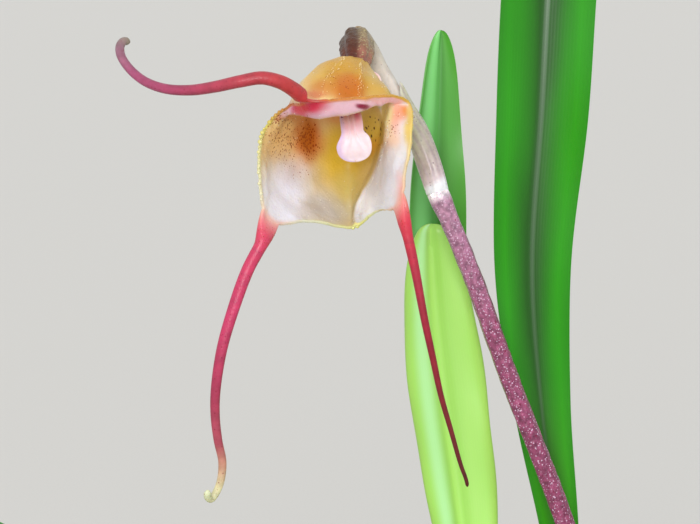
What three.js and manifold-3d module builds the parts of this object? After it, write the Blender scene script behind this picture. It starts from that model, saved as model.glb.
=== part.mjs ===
// A cup-flowered orchid, Dracula mantissa, in its pot: a tuft of leafy stems on a creeping rhizome in
// bark and moss, with one long-tailed flower on a leaning stalk.
// Millimetres, +Z up. The origin is the middle of the pot's underside, and the flower looks towards -Y.
import * as THREE from "three";
import { mergeVertices } from "three/addons/utils/BufferGeometryUtils.js";
import Module from "manifold-3d";

const wasm = await Module();
wasm.setup();

// Driving dimensions
const SEAT = 0.3; // clearance between pieces that rest on or in each other

const POT = {
  height: 80,
  baseRadius: 34,
  shoulderRadius: 43, // outside, just under the collar
  collarRadius: 47.5,
  collarHeight: 20,
  wall: 4.2,
  floor: 6,
  drains: 4,
  drainRadius: 4,
  drainCircle: 18,
  sides: 40,
};

const MEDIUM = { edgeLevel: 71, crownLevel: 76, rings: 7, sides: 36 };

const RHIZOME = { level: 73.5, line: 4, radius: 2.4 };
const STEM = { radius: 1.3, sides: 8, collar: 1.5, footLevel: 73.5 }; // the collar is its top, under the leaf
const SHEATH = { inner: STEM.radius + SEAT, outer: 2.25, from: 0.07, to: 0.6, flare: 0.35 };
const BLADE = { thickness: 0.75, keel: 1.25, petioleFold: 62, foldOpens: 0.45, crowding: 1.25, steps: 12 };

// The flower is drawn from a point just over the neck of its cup. Offsets are right, back and up from there.
const FLOWER = new THREE.Vector3(-23.2, -9.5, 221.5);
const CUP = { around: 48, along: 11, wall: 0.7, rib: 0.2, neckRadius: 1.25 };
const TAIL = { sides: 8, steps: 20, crowding: 1.35, neck: 0.08 }; // the neck's share is a part of the cup
const STALK = { foot: 1.3, radius: 1.2, node: 1.4, sides: 10, steps: 24 };
const PEDICEL = { radius: 0.8, top: 1.2 };
const BRACT = { inner: PEDICEL.radius + SEAT, outer: 1.55, cover: 0.5 };
const OVARY = { radius: 2.15, ribs: 6, ribDepth: 0.14, clear: CUP.wall / 2 + SEAT };

// Finishes
const finish = (color, roughness) => new THREE.MeshStandardMaterial({ color, roughness, metalness: 0 });
const CLAY = finish(0xb4694a, 0.85);
const BARK_AND_MOSS = finish(0x7a6a3c, 0.95);
const STEM_GREEN = finish(0x6f8f3a, 0.6);
const LEAF_GREEN = finish(0x58a32a, 0.45);
const PAPERY_SHEATH = finish(0xb09a6c, 0.8);
const STALK_PURPLE = finish(0xa05a78, 0.55);
const PALE_BRACT = finish(0xc9bca6, 0.5);
const OVARY_BROWN = finish(0x8a5a44, 0.6);
const SEPAL_CREAM = finish(0xe9d28c, 0.5);
const TAIL_CRIMSON = finish(0xb8304c, 0.5);
const LIP_PINK = finish(0xf3cfd6, 0.45);
const COLUMN_BLUSH = finish(0xe9a9c0, 0.45);

// Solids
const TOWARDS_VIEWER = new THREE.Vector3(0, -1, 0);
const UP = new THREE.Vector3(0, 0, 1);
const vec = ([x, y, z]) => new THREE.Vector3(x, y, z);
const fromFlower = (offset) => vec(offset).add(FLOWER);
const smoothStep = (t) => THREE.MathUtils.smoothstep(t, 0, 1);
const curveThrough = (points, closed = false) => new THREE.CatmullRomCurve3(points, closed, "centripetal");

// A closed three.js geometry as a solid, turned to face outwards.
function solidOf(geometry) {
  const bare = geometry.clone();
  bare.deleteAttribute("normal");
  bare.deleteAttribute("uv");
  const merged = mergeVertices(bare, 1e-4);
  const vertProperties = merged.attributes.position.array;
  const build = (triVerts) => new wasm.Manifold(new wasm.Mesh({ numProp: 3, vertProperties, triVerts }));
  const triangles = new Uint32Array(merged.index.array);
  const solid = build(triangles);
  if (solid.volume() > 0) return solid;
  return build(triangles.reverse());
}

// A cut can leave a loose scrap: only the largest body is kept.
const largestBody = (solid) => solid.decompose().sort((a, b) => b.volume() - a.volume())[0];

// A solid's surface as a three.js geometry.
function geometryOf(solid) {
  const mesh = solid.getMesh();
  const geometry = new THREE.BufferGeometry();
  geometry.setAttribute("position", new THREE.BufferAttribute(new Float32Array(mesh.vertProperties), 3));
  geometry.setIndex(new THREE.BufferAttribute(new Uint32Array(mesh.triVerts), 1));
  geometry.computeVertexNormals();
  return geometry;
}

// A skin over rings that each hold the same number of points, closed by a fan at both ends.
// The second half of a ring is split the other way, so that both faces of a thin blade match.
function skinOver(rings) {
  const count = rings[0].length;
  const positions = [];
  const faces = [];
  const place = (point) => positions.push(point.x, point.y, point.z) / 3 - 1;
  const index = rings.map((ring) => ring.map(place));
  const centreOf = (ring) => ring.reduce((sum, p) => sum.add(p), new THREE.Vector3()).divideScalar(count);
  const first = place(centreOf(rings[0]));
  const last = place(centreOf(rings.at(-1)));
  for (let j = 0; j < count; j++) {
    const k = (j + 1) % count;
    faces.push(first, index[0][k], index[0][j]);
    faces.push(last, index.at(-1)[j], index.at(-1)[k]);
    for (let i = 0; i + 1 < rings.length; i++) {
      const [a, b, c, d] = [index[i][j], index[i][k], index[i + 1][k], index[i + 1][j]];
      if (j < count / 2) faces.push(a, b, c, a, c, d);
      else faces.push(a, b, d, b, c, d);
    }
  }
  const geometry = new THREE.BufferGeometry();
  geometry.setAttribute("position", new THREE.Float32BufferAttribute(positions, 3));
  geometry.setIndex(faces);
  return solidOf(geometry);
}

// Rings across a path between two shares of its length, straight on past its ends for shares outside 0 and 1.
// section(t) is an outline of [side, face] pairs, and the second number of a pair is measured towards face.
function ringsAlong(path, steps, face, section, from = 0, to = 1) {
  const rings = [];
  for (let i = 0; i <= steps; i++) {
    const t = i / steps;
    const share = THREE.MathUtils.lerp(from, to, t);
    const inside = THREE.MathUtils.clamp(share, 0, 1);
    const along = path.getTangentAt(inside);
    const at = path.getPointAt(inside).addScaledVector(along, (share - inside) * path.getLength());
    const side = new THREE.Vector3().crossVectors(along, face).normalize();
    const out = new THREE.Vector3().crossVectors(side, along);
    const toRing = ([x, y]) => at.clone().addScaledVector(side, x).addScaledVector(out, y);
    rings.push(section(t).map(toRing));
  }
  return rings;
}

// A path from a share of another to its end. Even steps on it crowd towards the end if power is over 1.
function crowdedTowardsEnd(path, from, power) {
  const shareAt = (t) => THREE.MathUtils.lerp(from, 1, 1 - (1 - t) ** power);
  return {
    getPointAt: (t) => path.getPointAt(shareAt(t)),
    getTangentAt: (t) => path.getTangentAt(shareAt(t)),
    getLength: () => path.getLength(),
    shareAt,
  };
}

// An ellipse of so many sides, as [side, face] pairs.
function oval(halfWidth, halfDepth, sides) {
  const outline = [];
  for (let i = 0; i < sides; i++) {
    const angle = (2 * Math.PI * i) / sides;
    outline.push([halfWidth * Math.cos(angle), halfDepth * Math.sin(angle)]);
  }
  return outline;
}

// A round stem along a path, its radius a number or a function of the share of its length.
function roundStem(path, radius, options) {
  const { sides = STEM.sides, steps, face = TOWARDS_VIEWER, from = 0, to = 1 } = options;
  const radiusAt = typeof radius === "function" ? radius : () => radius;
  return skinOver(ringsAlong(path, steps, face, (t) => oval(radiusAt(t), radiusAt(t), sides), from, to));
}
// An open tube: a stem with a thinner one taken out of it.
function tube(path, outer, inner, options) {
  const { from = 0, to = 1 } = options;
  const margin = 0.02;
  const bore = roundStem(path, inner, { ...options, from: from - margin, to: to + margin });
  return roundStem(path, outer, options).subtract(bore);
}

// Pot and growing medium
function pot() {
  const { height, baseRadius, shoulderRadius, collarRadius, collarHeight, wall, floor } = POT;
  const shoulder = height - collarHeight;
  const edge = 1.2; // rounding of the foot and the lip
  const profile = [
    [0, 0],
    [baseRadius - edge, 0],
    [baseRadius, edge],
    [shoulderRadius, shoulder - 2],
    [collarRadius - edge, shoulder],
    [collarRadius - 0.6, shoulder + edge],
    [collarRadius, height - edge],
    [collarRadius - edge, height],
    [collarRadius - wall, height],
    [collarRadius - wall - edge, height - edge],
    [baseRadius - wall + 1, floor + 3],
    [baseRadius - wall - 2, floor],
    [0, floor],
  ].map(([x, y]) => new THREE.Vector2(x, y));
  const body = new THREE.LatheGeometry(profile, POT.sides).rotateX(Math.PI / 2);
  let solid = solidOf(body);
  for (let i = 0; i < POT.drains; i++) {
    const angle = (2 * Math.PI * (i + 0.5)) / POT.drains;
    const drain = new THREE.CylinderGeometry(POT.drainRadius, POT.drainRadius, 4 * floor, 16);
    drain.rotateX(Math.PI / 2);
    drain.translate(POT.drainCircle * Math.cos(angle), POT.drainCircle * Math.sin(angle), 0);
    solid = solid.subtract(solidOf(drain));
  }
  return solid;
}

// Radius of the pot's inner wall at a height.
function innerRadius(z) {
  const low = POT.floor + 3;
  const high = POT.height - 1.2;
  const rise = (z - low) / (high - low);
  return THREE.MathUtils.lerp(POT.baseRadius - POT.wall + 1, POT.collarRadius - POT.wall - 1.2, rise);
}

// Height of the lumpy top of the bark and moss.
function mediumLevel(x, y) {
  const distance = Math.hypot(x, y) / innerRadius(MEDIUM.edgeLevel);
  const dome = THREE.MathUtils.lerp(MEDIUM.crownLevel, MEDIUM.edgeLevel, smoothStep(distance));
  const lumps = Math.sin(0.42 * x + 1.3) * Math.cos(0.5 * y) + 0.6 * Math.sin(0.93 * x - 0.71 * y);
  return dome + 0.8 * lumps * (1 - 0.4 * distance);
}

function mediumFill() {
  const { rings, sides, edgeLevel } = MEDIUM;
  const ringAt = (radius, level) => {
    const ring = [];
    for (let i = 0; i < sides; i++) {
      const angle = (2 * Math.PI * i) / sides;
      const [x, y] = [radius * Math.cos(angle), radius * Math.sin(angle)];
      ring.push(new THREE.Vector3(x, y, level ?? mediumLevel(x, y)));
    }
    return ring;
  };
  const bottom = POT.floor + SEAT;
  const topRadius = innerRadius(edgeLevel - 2) - 2 * SEAT;
  const bottomRadius = innerRadius(POT.floor + 3) - 2 * SEAT;
  const list = [ringAt(bottomRadius - 3, bottom), ringAt(bottomRadius, bottom + 3.2)];
  for (let i = rings; i >= 1; i--) list.push(ringAt((topRadius * i) / rings));
  list.push(ringAt(1.5));
  return skinOver(list);
}

// Leafy stems
// Rib of a leaf that leans out of the tuft and bows over, angles in degrees from upright.
function bowedRib(collar, { azimuth, swing, lean, droop, length }) {
  const points = [];
  const step = length / 6;
  const at = collar.clone();
  for (let i = 0; i <= 6; i++) {
    points.push(at.clone());
    const tilt = THREE.MathUtils.degToRad(THREE.MathUtils.lerp(lean, droop, (i + 0.5) / 6));
    const heading = THREE.MathUtils.degToRad(azimuth + (swing * i) / 6);
    at.x += step * Math.sin(tilt) * Math.cos(heading);
    at.y += step * Math.sin(tilt) * Math.sin(heading);
    at.z += step * Math.cos(tilt);
  }
  return points;
}

// The three upright leaves of the view that the flower is seen in, each with its rib point by point.
const UPRIGHT_SHOOTS = [
  {
    name: "tall",
    foot: [9.5, 5.5],
    rib: [[8, 5, 112], [6.2, 5, 135], [3.4, 5, 158], [0.9, 5.3, 175], [-0.5, 5.6, 193], [0.6, 6.2, 214],
      [1.6, 7.5, 233], [3.2, 9.5, 250], [5, 12, 264]],
    halfWidth: 7,
    widest: 0.76,
    blunt: 0.6,
    fold: 27,
    face: [0.05, -1, 0],
  },
  {
    name: "front",
    foot: [-6, 2],
    rib: [[-6.5, 2.8, 107], [-7.2, 3, 130], [-9.2, 3.2, 157], [-11.5, 3.4, 174], [-13, 3.3, 187],
      [-13.7, 2.6, 199]],
    halfWidth: 5.2,
    widest: 0.77,
    blunt: 0.28,
    fold: 15,
    face: [0.3, 1, 0],
  },
  {
    name: "rear",
    foot: [-9, 11],
    rib: [[-9.5, 11, 106], [-8.6, 11, 130], [-10.2, 10.8, 162], [-12.2, 10.5, 178], [-13.1, 10.3, 192],
      [-13, 9.9, 206], [-12.4, 9.2, 224]],
    halfWidth: 4.5,
    widest: 0.6,
    blunt: 0.6,
    fold: 20,
    face: [0.35, -1, 0],
  },
];

// The leaves round them lean out and bow over. Their heading swings and their blade rolls a little on the way
// to the tip, and lean and droop are degrees from upright at the foot and at the tip.
const OUTER_SHOOTS = [
  { foot: [-15, -1], azimuth: 190, swing: 14, lean: 22, droop: 84, length: 104, halfWidth: 7.6, roll: 12 },
  { foot: [-17, 8], azimuth: 166, swing: -10, lean: 27, droop: 74, length: 90, halfWidth: 7, roll: -16 },
  { foot: [-7, -9], azimuth: 228, swing: 16, lean: 20, droop: 88, length: 108, halfWidth: 7.6, roll: -14 },
  { foot: [3, -10], azimuth: 280, swing: -16, lean: 26, droop: 72, length: 88, halfWidth: 6.6, roll: 20 },
  { foot: [13, -9], azimuth: 312, swing: 12, lean: 21, droop: 82, length: 116, halfWidth: 8, roll: 10 },
  { foot: [23, -3], azimuth: 348, swing: 12, lean: 15, droop: 52, length: 126, halfWidth: 7.8, roll: -18 },
  { foot: [22, 9], azimuth: 30, swing: -14, lean: 22, droop: 76, length: 110, halfWidth: 7.8, roll: 14 },
  { foot: [11, 16], azimuth: 58, swing: 18, lean: 30, droop: 86, length: 92, halfWidth: 7.2, roll: -12 },
  { foot: [-1, 17], azimuth: 112, swing: 12, lean: 32, droop: 98, length: 90, halfWidth: 7, roll: 16 },
];

// How far an outer stem rises above its foot before its leaf begins.
const OUTER_STEM_RISE = 30;

function outerShoot(shoot, i) {
  const { foot, azimuth, lean } = shoot;
  const heading = THREE.MathUtils.degToRad(azimuth);
  const reach = OUTER_STEM_RISE * Math.tan(THREE.MathUtils.degToRad(0.7 * lean));
  const collar = new THREE.Vector3(
    foot[0] + reach * Math.cos(heading),
    foot[1] + reach * Math.sin(heading),
    MEDIUM.crownLevel + OUTER_STEM_RISE - (i % 3) * 3,
  );
  const rib = bowedRib(collar, shoot).map((p) => p.toArray());
  const face = [-Math.cos(heading), -Math.sin(heading), 1];
  return { ...shoot, name: `outer_${i + 1}`, rib, face, widest: 0.66, blunt: 0.72, fold: 22 };
}

const SHOOTS = [...UPRIGHT_SHOOTS, ...OUTER_SHOOTS.map(outerShoot)];

// Outline across a leaf: two arms folded up from the midrib, a groove above it and a keel below, rolled over.
function bladeOutline(arm, foldDegrees, thickness, keel, rollDegrees) {
  const fold = THREE.MathUtils.degToRad(foldDegrees);
  const [across, up] = [Math.cos(fold), Math.sin(fold)];
  const upper = (share) => [share * arm * across, share * arm * up * (0.55 + 0.45 * Math.abs(share))];
  const lower = (share) => {
    const [x, y] = upper(share);
    return [x + Math.sign(share) * thickness * up, y - thickness * across];
  };
  const roll = THREE.MathUtils.degToRad(rollDegrees);
  const [cos, sin] = [Math.cos(roll), Math.sin(roll)];
  const top = [upper(-1), upper(-0.5), [0, 0], upper(0.5), upper(1)];
  const underside = [lower(1), lower(0.5), [0, -keel], lower(-0.5), lower(-1)];
  return [...top, ...underside].map(([x, y]) => [-x * cos - y * sin, y * cos - x * sin]);
}

// Half width of a narrow obovate leaf: a stalk, a slow widening, and a tip as blunt as asked.
function bladeHalfWidth(t, { halfWidth, widest, blunt }) {
  const stalk = 0.24;
  const opening = smoothStep((t - 0.08) / (widest - 0.08));
  if (t <= widest) return halfWidth * THREE.MathUtils.lerp(stalk, 1, opening);
  const rest = (t - widest) / (1 - widest);
  return Math.max(0.3, halfWidth * (1 - rest * rest) ** blunt);
}

function leaf(shoot) {
  const rib = curveThrough(shoot.rib.map(vec));
  const path = crowdedTowardsEnd(rib, SEAT / rib.getLength(), BLADE.crowding);
  const section = (t) => {
    const share = path.shareAt(t);
    const arm = bladeHalfWidth(share, shoot);
    const fold = THREE.MathUtils.lerp(BLADE.petioleFold, shoot.fold, smoothStep(share / BLADE.foldOpens));
    const thin = THREE.MathUtils.lerp(1, 0.8, smoothStep((share - 0.9) / 0.1));
    const roll = (shoot.roll ?? 0) * share;
    return bladeOutline(arm, fold, BLADE.thickness * thin, BLADE.keel * thin, roll);
  };
  return skinOver(ringsAlong(path, BLADE.steps, vec(shoot.face), section));
}

// Straight run of a stem up out of the moss, from its foot to the collar under its leaf.
const stemLine = ({ foot, rib }) => new THREE.LineCurve3(vec([...foot, STEM.footLevel]), vec(rib[0]));

// Buried end of a stem, from the rhizome to its foot.
function rootLine({ foot }) {
  const start = vec([foot[0] * 0.85, RHIZOME.line, RHIZOME.level]);
  return new THREE.LineCurve3(start, vec([...foot, STEM.footLevel]));
}

const stemRadius = (t) => STEM.radius + (STEM.collar - STEM.radius) * smoothStep((t - 0.6) / 0.4);

// The rhizome and the stems that rise from it, all grown by extra when a hole is cut for them.
function rhizomeAndStems(extra = 0) {
  const bends = [[-18, 1], [-9, -0.6], [1, 0.6], [12, -0.8], [23, 0.4]];
  const line = bends.map(([x, y]) => vec([x, RHIZOME.line + y, RHIZOME.level]));
  const knuckled = (t) => RHIZOME.radius + extra + 0.35 * Math.sin(t * 40);
  let solid = roundStem(curveThrough(line), knuckled, { steps: 14, face: UP });
  for (const shoot of SHOOTS) {
    solid = solid.add(roundStem(rootLine(shoot), STEM.radius + extra, { steps: 1 }));
    solid = solid.add(roundStem(stemLine(shoot), (t) => stemRadius(t) + extra, { steps: 3 }));
  }
  return solid;
}

function sheath(shoot) {
  const flared = (radius) => (t) => radius + SHEATH.flare * smoothStep((t - 0.5) / 0.5);
  const options = { steps: 2, from: SHEATH.from, to: SHEATH.to };
  return tube(stemLine(shoot), flared(SHEATH.outer), flared(SHEATH.inner), options);
}

// Plain hole in the medium for a sheathed stem.
function sheathHole(shoot) {
  return roundStem(stemLine(shoot), SHEATH.outer + SEAT, { steps: 1, from: SHEATH.from - 0.02, to: 0.5 });
}

// Flower stalk
const STALK_LINE = [[17, -2.5, 68], [17, -2.5, 78], [16.2, -2.5, 96], [13.6, -2.6, 118], [9.3, -2.8, 142],
  [3.65, -3, 160.2], [-3.75, -4.5, 179.5], [-9, -5, 193.9], [-13.3, -5, 204.2]].map(vec);
const STALK_PATH = curveThrough(STALK_LINE);
const STALK_TOP = STALK_LINE.at(-1);

// The pedicel runs on from the stalk, up behind the flower, and turns forward into the ovary.
const PEDICEL_BENDS = [[9.2, 4.8, -14.8], [7.7, 5.7, -11], [5.8, 6.9, -7.4], [4, 8.4, -4.1], [2.45, 10, -1.9],
  [1.25, 10.9, 0.3], [0.35, 10.4, 1.7], [0, 9.2, 2.1]].map(fromFlower);
const PEDICEL_PATH = curveThrough([STALK_TOP, ...PEDICEL_BENDS]);
const OVARY_LINE = [[0, 8.9, 2.1], [-0.3, 6.3, 1.5], [-0.3, 3, 0.2], [-0.3, 0, -1.6]].map(fromFlower);
const OVARY_PATH = curveThrough(OVARY_LINE);

function flowerStalk(extra = 0) {
  const radius = (t) => extra + THREE.MathUtils.lerp(STALK.foot, STALK.radius, t)
    + (STALK.node - STALK.radius) * smoothStep((t - 0.985) / 0.015);
  return roundStem(STALK_PATH, radius, { sides: STALK.sides, steps: STALK.steps });
}

function stalkBract(from, to) {
  const inner = STALK.foot + SEAT;
  const outer = (t) => inner + 0.6 + 0.25 * Math.sin(Math.PI * t);
  return tube(STALK_PATH, outer, inner, { sides: STALK.sides, steps: 4, from, to });
}

function floralBract() {
  const from = SEAT / PEDICEL_PATH.getLength();
  const outer = (t) => BRACT.outer - 0.12 + 0.12 * Math.sin(Math.PI * t);
  return tube(PEDICEL_PATH, outer, BRACT.inner, { sides: STALK.sides, steps: 7, from, to: BRACT.cover });
}

function pedicel() {
  const from = SEAT / PEDICEL_PATH.getLength();
  const swell = (t) => smoothStep((t - BRACT.cover) / 0.3);
  const radius = (t) => THREE.MathUtils.lerp(PEDICEL.radius, PEDICEL.top, swell(t));
  return roundStem(PEDICEL_PATH, radius, { sides: STALK.sides, steps: 14, from, to: 1 - 0.5 * from });
}

function ovary() {
  const length = OVARY_PATH.getLength();
  const swell = (t) => THREE.MathUtils.lerp(PEDICEL.top, OVARY.radius, smoothStep(t / 0.3))
    * THREE.MathUtils.lerp(1, 0.7, smoothStep((t - 0.55) / 0.45));
  const ribbed = (t) => oval(swell(t), swell(t), 2 * OVARY.ribs).map(([x, y], i) => {
    const scale = i % 2 ? 1 - OVARY.ribDepth : 1;
    return [x * scale, y * scale];
  });
  const [from, to] = [SEAT / length, 1 - OVARY.clear / length];
  return skinOver(ringsAlong(OVARY_PATH, 7, UP, ribbed, from, to));
}

// Flower
// Sixteen lines run out of the neck of the cup. Each meets its throat, its belly, a last fold and its rim. At
// the dorsal sepal the fold hangs below the rim, because that sepal's margin turns back up.
const CUP_LINES = {
  dorsalApex: [[-1.5, -3.3, -0.5], [-3.2, -9.5, -3.2], [-4.7, -13.8, -6.6], [-6, -16.5, -4.7]],
  dorsalVeinRight: [[-0.1, -2.7, -1.1], [0, -7.5, -3.2], [-0.5, -11.3, -6], [-0.6, -13.3, -4.5]],
  dorsalShoulderRight: [[1.3, -1.2, -2], [2.7, -4.2, -3.6], [3, -7.7, -5.2], [3.4, -9.3, -4.5]],
  sinusRight: [[2.3, 0.5, -4], [3.9, -3, -5.3], [4.1, -5, -5.5], [6.1, -5.5, -5.6]],
  rightMarginUpper: [[3.1, 1.5, -6.1], [3.7, -3.6, -7.9], [3.9, -5.7, -7.9], [6.4, -7.5, -8.1]],
  rightMarginLower: [[3.1, 2, -8.7], [3.4, -4, -11.5], [4.1, -6.7, -11.5], [5.7, -9.5, -12.9]],
  rightApex: [[2.1, 3, -11.4], [2.2, -4, -16], [3.7, -8.5, -16.8], [4.9, -11, -17.6]],
  rightVentral: [[0.6, 4.3, -13.1], [0.4, -1, -18], [1.3, -4, -18.9], [1.9, -5.8, -19]],
  ventralSeam: [[-1.2, 5, -13.3], [-1.2, 2, -19], [-0.9, -0.6, -20.8], [-0.6, -2.6, -21.3]],
  leftVentral: [[-3.2, 4.5, -12.8], [-5, 0, -18.2], [-5.6, -3.5, -19.6], [-5.9, -6, -20.2]],
  leftApex: [[-5.1, 3, -11.4], [-9, -4.8, -17], [-10.4, -8.6, -18.4], [-11.2, -11.3, -19.6]],
  leftMarginLower: [[-6, 2, -8.8], [-10.4, -5.5, -14], [-11.6, -9.3, -14.7], [-12.2, -12, -15.1]],
  leftMarginUpper: [[-5.5, 1, -5.8], [-9.6, -4, -9.6], [-11.3, -8.3, -9.9], [-12.1, -11, -9.5]],
  sinusLeft: [[-4.6, 0, -3.2], [-7.8, -3.5, -5.4], [-9.5, -7.3, -7.2], [-10.6, -9.3, -7.1]],
  dorsalShoulderLeft: [[-3.9, -1.5, -1.4], [-6.9, -6, -2.9], [-8.4, -9.5, -6.3], [-8.5, -11.2, -5.5]],
  dorsalVeinLeft: [[-2.6, -2.4, -0.3], [-5.2, -7.6, -2], [-7.1, -12.1, -6.4], [-7.2, -14.3, -5.2]],
};

// Neck of the cup: a small circle across the ovary's line, met in the same order as the sixteen lines.
function neckPoint(turn) {
  const along = OVARY_PATH.getTangentAt(1);
  const side = new THREE.Vector3().crossVectors(along, UP).normalize();
  const up = new THREE.Vector3().crossVectors(side, along);
  const angle = 2 * Math.PI * turn;
  return OVARY_LINE.at(-1).clone()
    .addScaledVector(side, -CUP.neckRadius * Math.sin(angle))
    .addScaledVector(up, CUP.neckRadius * Math.cos(angle));
}

const CUP_HOOPS = CUP_LINES.dorsalApex.map((_, level) =>
  curveThrough(Object.values(CUP_LINES).map((line) => fromFlower(line[level])), true));

// A point of the cup's middle surface. turn goes once round, and out goes from the neck, 0, to the rim, 1.
function cupPoint(turn, out) {
  const line = [neckPoint(turn), ...CUP_HOOPS.map((hoop) => hoop.getPoint(turn % 1))];
  return curveThrough(line).getPoint(out);
}

function cupNormal(turn, out) {
  const d = 0.004;
  const around = cupPoint((turn + d) % 1, out).sub(cupPoint((turn - d + 1) % 1, out));
  const outwards = cupPoint(turn, Math.min(1, out + d)).sub(cupPoint(turn, Math.max(0, out - d)));
  return around.cross(outwards).normalize();
}

// The cup as a shell: its outside from the neck to the rim, then its inside back again. Ribs stand out of the
// outside on each of the sixteen lines.
function cupShell(wall, rib) {
  const ring = (out, offset, ribHeight) => {
    const points = [];
    for (let i = 0; i < CUP.around; i++) {
      const turn = i / CUP.around;
      const onLine = i % (CUP.around / CUP_HOOPS[0].points.length) === 0;
      const lift = offset + (onLine ? ribHeight * Math.sin(Math.PI * out) : 0);
      points.push(cupPoint(turn, out).addScaledVector(cupNormal(turn, out), lift));
    }
    return points;
  };
  const rings = [];
  for (let i = 0; i <= CUP.along; i++) rings.push(ring(Math.max(0.02, i / CUP.along), -wall / 2, -rib));
  for (let i = CUP.along; i >= 0; i--) rings.push(ring(Math.max(0.02, i / CUP.along), wall / 2, 0));
  return skinOver(rings);
}

// Each tail starts inside the rim as a flat flare and runs out to a curled tip.
const TAILS = {
  dorsal: {
    line: [[-5.3, -15, -5.7], [-6, -16.5, -4.9], [-6.9, -17.7, -4], [-8, -18.9, -3],
      [-9.5, -20, -2.1], [-11.6, -20.5, -1.6], [-14.2, -20.5, -2], [-17.2, -19.5, -2.7], [-20.3, -18, -3.2],
      [-23.4, -16.5, -3.1], [-25.9, -15, -2.3], [-27.8, -13.5, -0.9], [-28.9, -12.5, 0.6],
      [-29.1, -11.5, 1.7], [-28.7, -10.5, 2.3], [-28, -10, 2.2]],
    flare: 1.5,
    root: 1.15,
    tip: 0.5,
    face: [0, -0.5, 1],
  },
  left: {
    line: [[-10.6, -9.4, -19.1], [-11.2, -11.1, -20.4], [-12, -11.8, -22.3], [-13.7, -12.5, -25.5],
      [-15.5, -13, -30.4], [-16.9, -13, -35.3], [-17.7, -12.5, -40.4], [-17.8, -12, -43.6],
      [-17.5, -11.5, -46.8], [-17, -11, -49.6], [-17.2, -11, -51.9], [-17.8, -11, -53.5],
      [-18.4, -11.5, -54.2], [-18.8, -12.3, -53.7], [-18.7, -12.7, -52.8]],
    flare: 1.25,
    root: 0.9,
    tip: 0.42,
    face: [0, -1, 0],
  },
  right: {
    line: [[4.6, -9.2, -18.1], [5.3, -10.8, -19], [5.8, -11.2, -21.2], [6.8, -11, -25.7], [8, -10.5, -32],
      [9.1, -9.5, -37.1], [10.1, -8.5, -41.7], [11.4, -7.5, -46.3], [12.7, -6.5, -50.9], [13.4, -6, -52.9],
      [13.6, -5.5, -53.9]],
    flare: 1.05,
    root: 0.8,
    tip: 0.3,
    face: [0, -1, 0],
  },
};

const tailPath = ({ line }) => curveThrough(line.map(fromFlower));

// The flat root of a tail, which is part of the cup.
function tailNeck(tail) {
  const section = (t) => oval(
    THREE.MathUtils.lerp(tail.flare, tail.root, smoothStep(t)),
    THREE.MathUtils.lerp(CUP.wall / 2, 0.9 * tail.root, smoothStep(t)),
    2 * TAIL.sides,
  );
  return skinOver(ringsAlong(tailPath(tail), 6, vec(tail.face), section, 0, TAIL.neck));
}

function tailBody(tail) {
  const line = tailPath(tail);
  const path = crowdedTowardsEnd(line, TAIL.neck + SEAT / line.getLength(), TAIL.crowding);
  const section = (t) => {
    const radius = THREE.MathUtils.lerp(tail.root, tail.tip, path.shareAt(t) ** 0.8);
    return oval(radius, 0.9 * radius, TAIL.sides);
  };
  return skinOver(ringsAlong(path, TAIL.steps, vec(tail.face), section));
}

function sepalCup() {
  let solid = cupShell(CUP.wall, CUP.rib);
  for (const tail of Object.values(TAILS)) solid = solid.add(tailNeck(tail));
  return solid;
}

// Column, petals and lip are cut clear of the cup by this thicker copy of it.
const cupClearance = cupShell(CUP.wall + 2 * SEAT, CUP.rib);
const clearOfCup = (solid) => largestBody(solid.subtract(cupClearance));

const COLUMN_LINE = [[-0.3, 0.4, -1.2], [0.1, -1.4, -3.1], [0.8, -3, -4.6], [1.3, -4.3, -5.7]]
  .map(fromFlower);
const COLUMN_PATH = curveThrough(COLUMN_LINE);

function column(extra = 0) {
  const radius = (t) => extra + 1.05 + 0.3 * Math.sin(Math.PI * t) - 0.35 * smoothStep((t - 0.85) / 0.15);
  return clearOfCup(roundStem(COLUMN_PATH, radius, { sides: 10, steps: 7 }));
}

function petal(side) {
  const line = [[0.9, -0.2, -2.4], [1.9, -2, -3.5], [2.1, -3.7, -4.6], [1.7, -5, -5.5]]
    .map(([x, y, z]) => fromFlower([0.5 + side * x, y, z]));
  const section = (t) => oval(0.3, 0.35 + 0.75 * Math.sin(Math.PI * Math.min(1, 0.12 + t)) ** 0.8, 8);
  const blade = skinOver(ringsAlong(curveThrough(line), 6, UP, section));
  return clearOfCup(blade.subtract(column(SEAT)));
}

// The lip hangs from under the column: a channelled claw, then a spoon with a lobed edge and low ridges.
const LIP_LINE = [[-1.1, -3.4, -6], [-1.2, -5.3, -6.7], [-1, -6.7, -8], [-0.8, -7.9, -9.7],
  [-0.65, -7.9, -11.2], [-0.55, -7.1, -12.5]].map(fromFlower);
const LIP_PATH = curveThrough(LIP_LINE);

function lip() {
  const halfWidth = (t) => {
    const claw = THREE.MathUtils.lerp(1.25, 1.4, t);
    const spoon = 2.2 * Math.sqrt(Math.max(0.02, 1 - ((t - 0.7) / 0.31) ** 2));
    return t < 0.5 ? claw : Math.max(spoon, claw * (1 - smoothStep((t - 0.8) / 0.2)));
  };
  const section = (t) => {
    const w = halfWidth(t);
    const cup = 0.35 * smoothStep((t - 0.45) / 0.2);
    const outline = [];
    const count = 6;
    for (let i = 0; i <= count; i++) {
      const x = (2 * i) / count - 1;
      outline.push([-x * w, cup * x * x + (i % 2 ? 0.14 : 0)]);
    }
    for (let i = count; i >= 0; i--) {
      const x = (2 * i) / count - 1;
      outline.push([-x * w, cup * x * x - 0.75 + 0.15 * x * x]);
    }
    return outline;
  };
  const body = skinOver(ringsAlong(LIP_PATH, 14, TOWARDS_VIEWER, section));
  return clearOfCup(body.subtract(column(SEAT)));
}

// Assembly
const plant = new THREE.Group();

function add(name, solid, material) {
  const mesh = new THREE.Mesh(geometryOf(solid), material);
  mesh.name = name;
  plant.add(mesh);
}

add("pot", pot(), CLAY);

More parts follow.
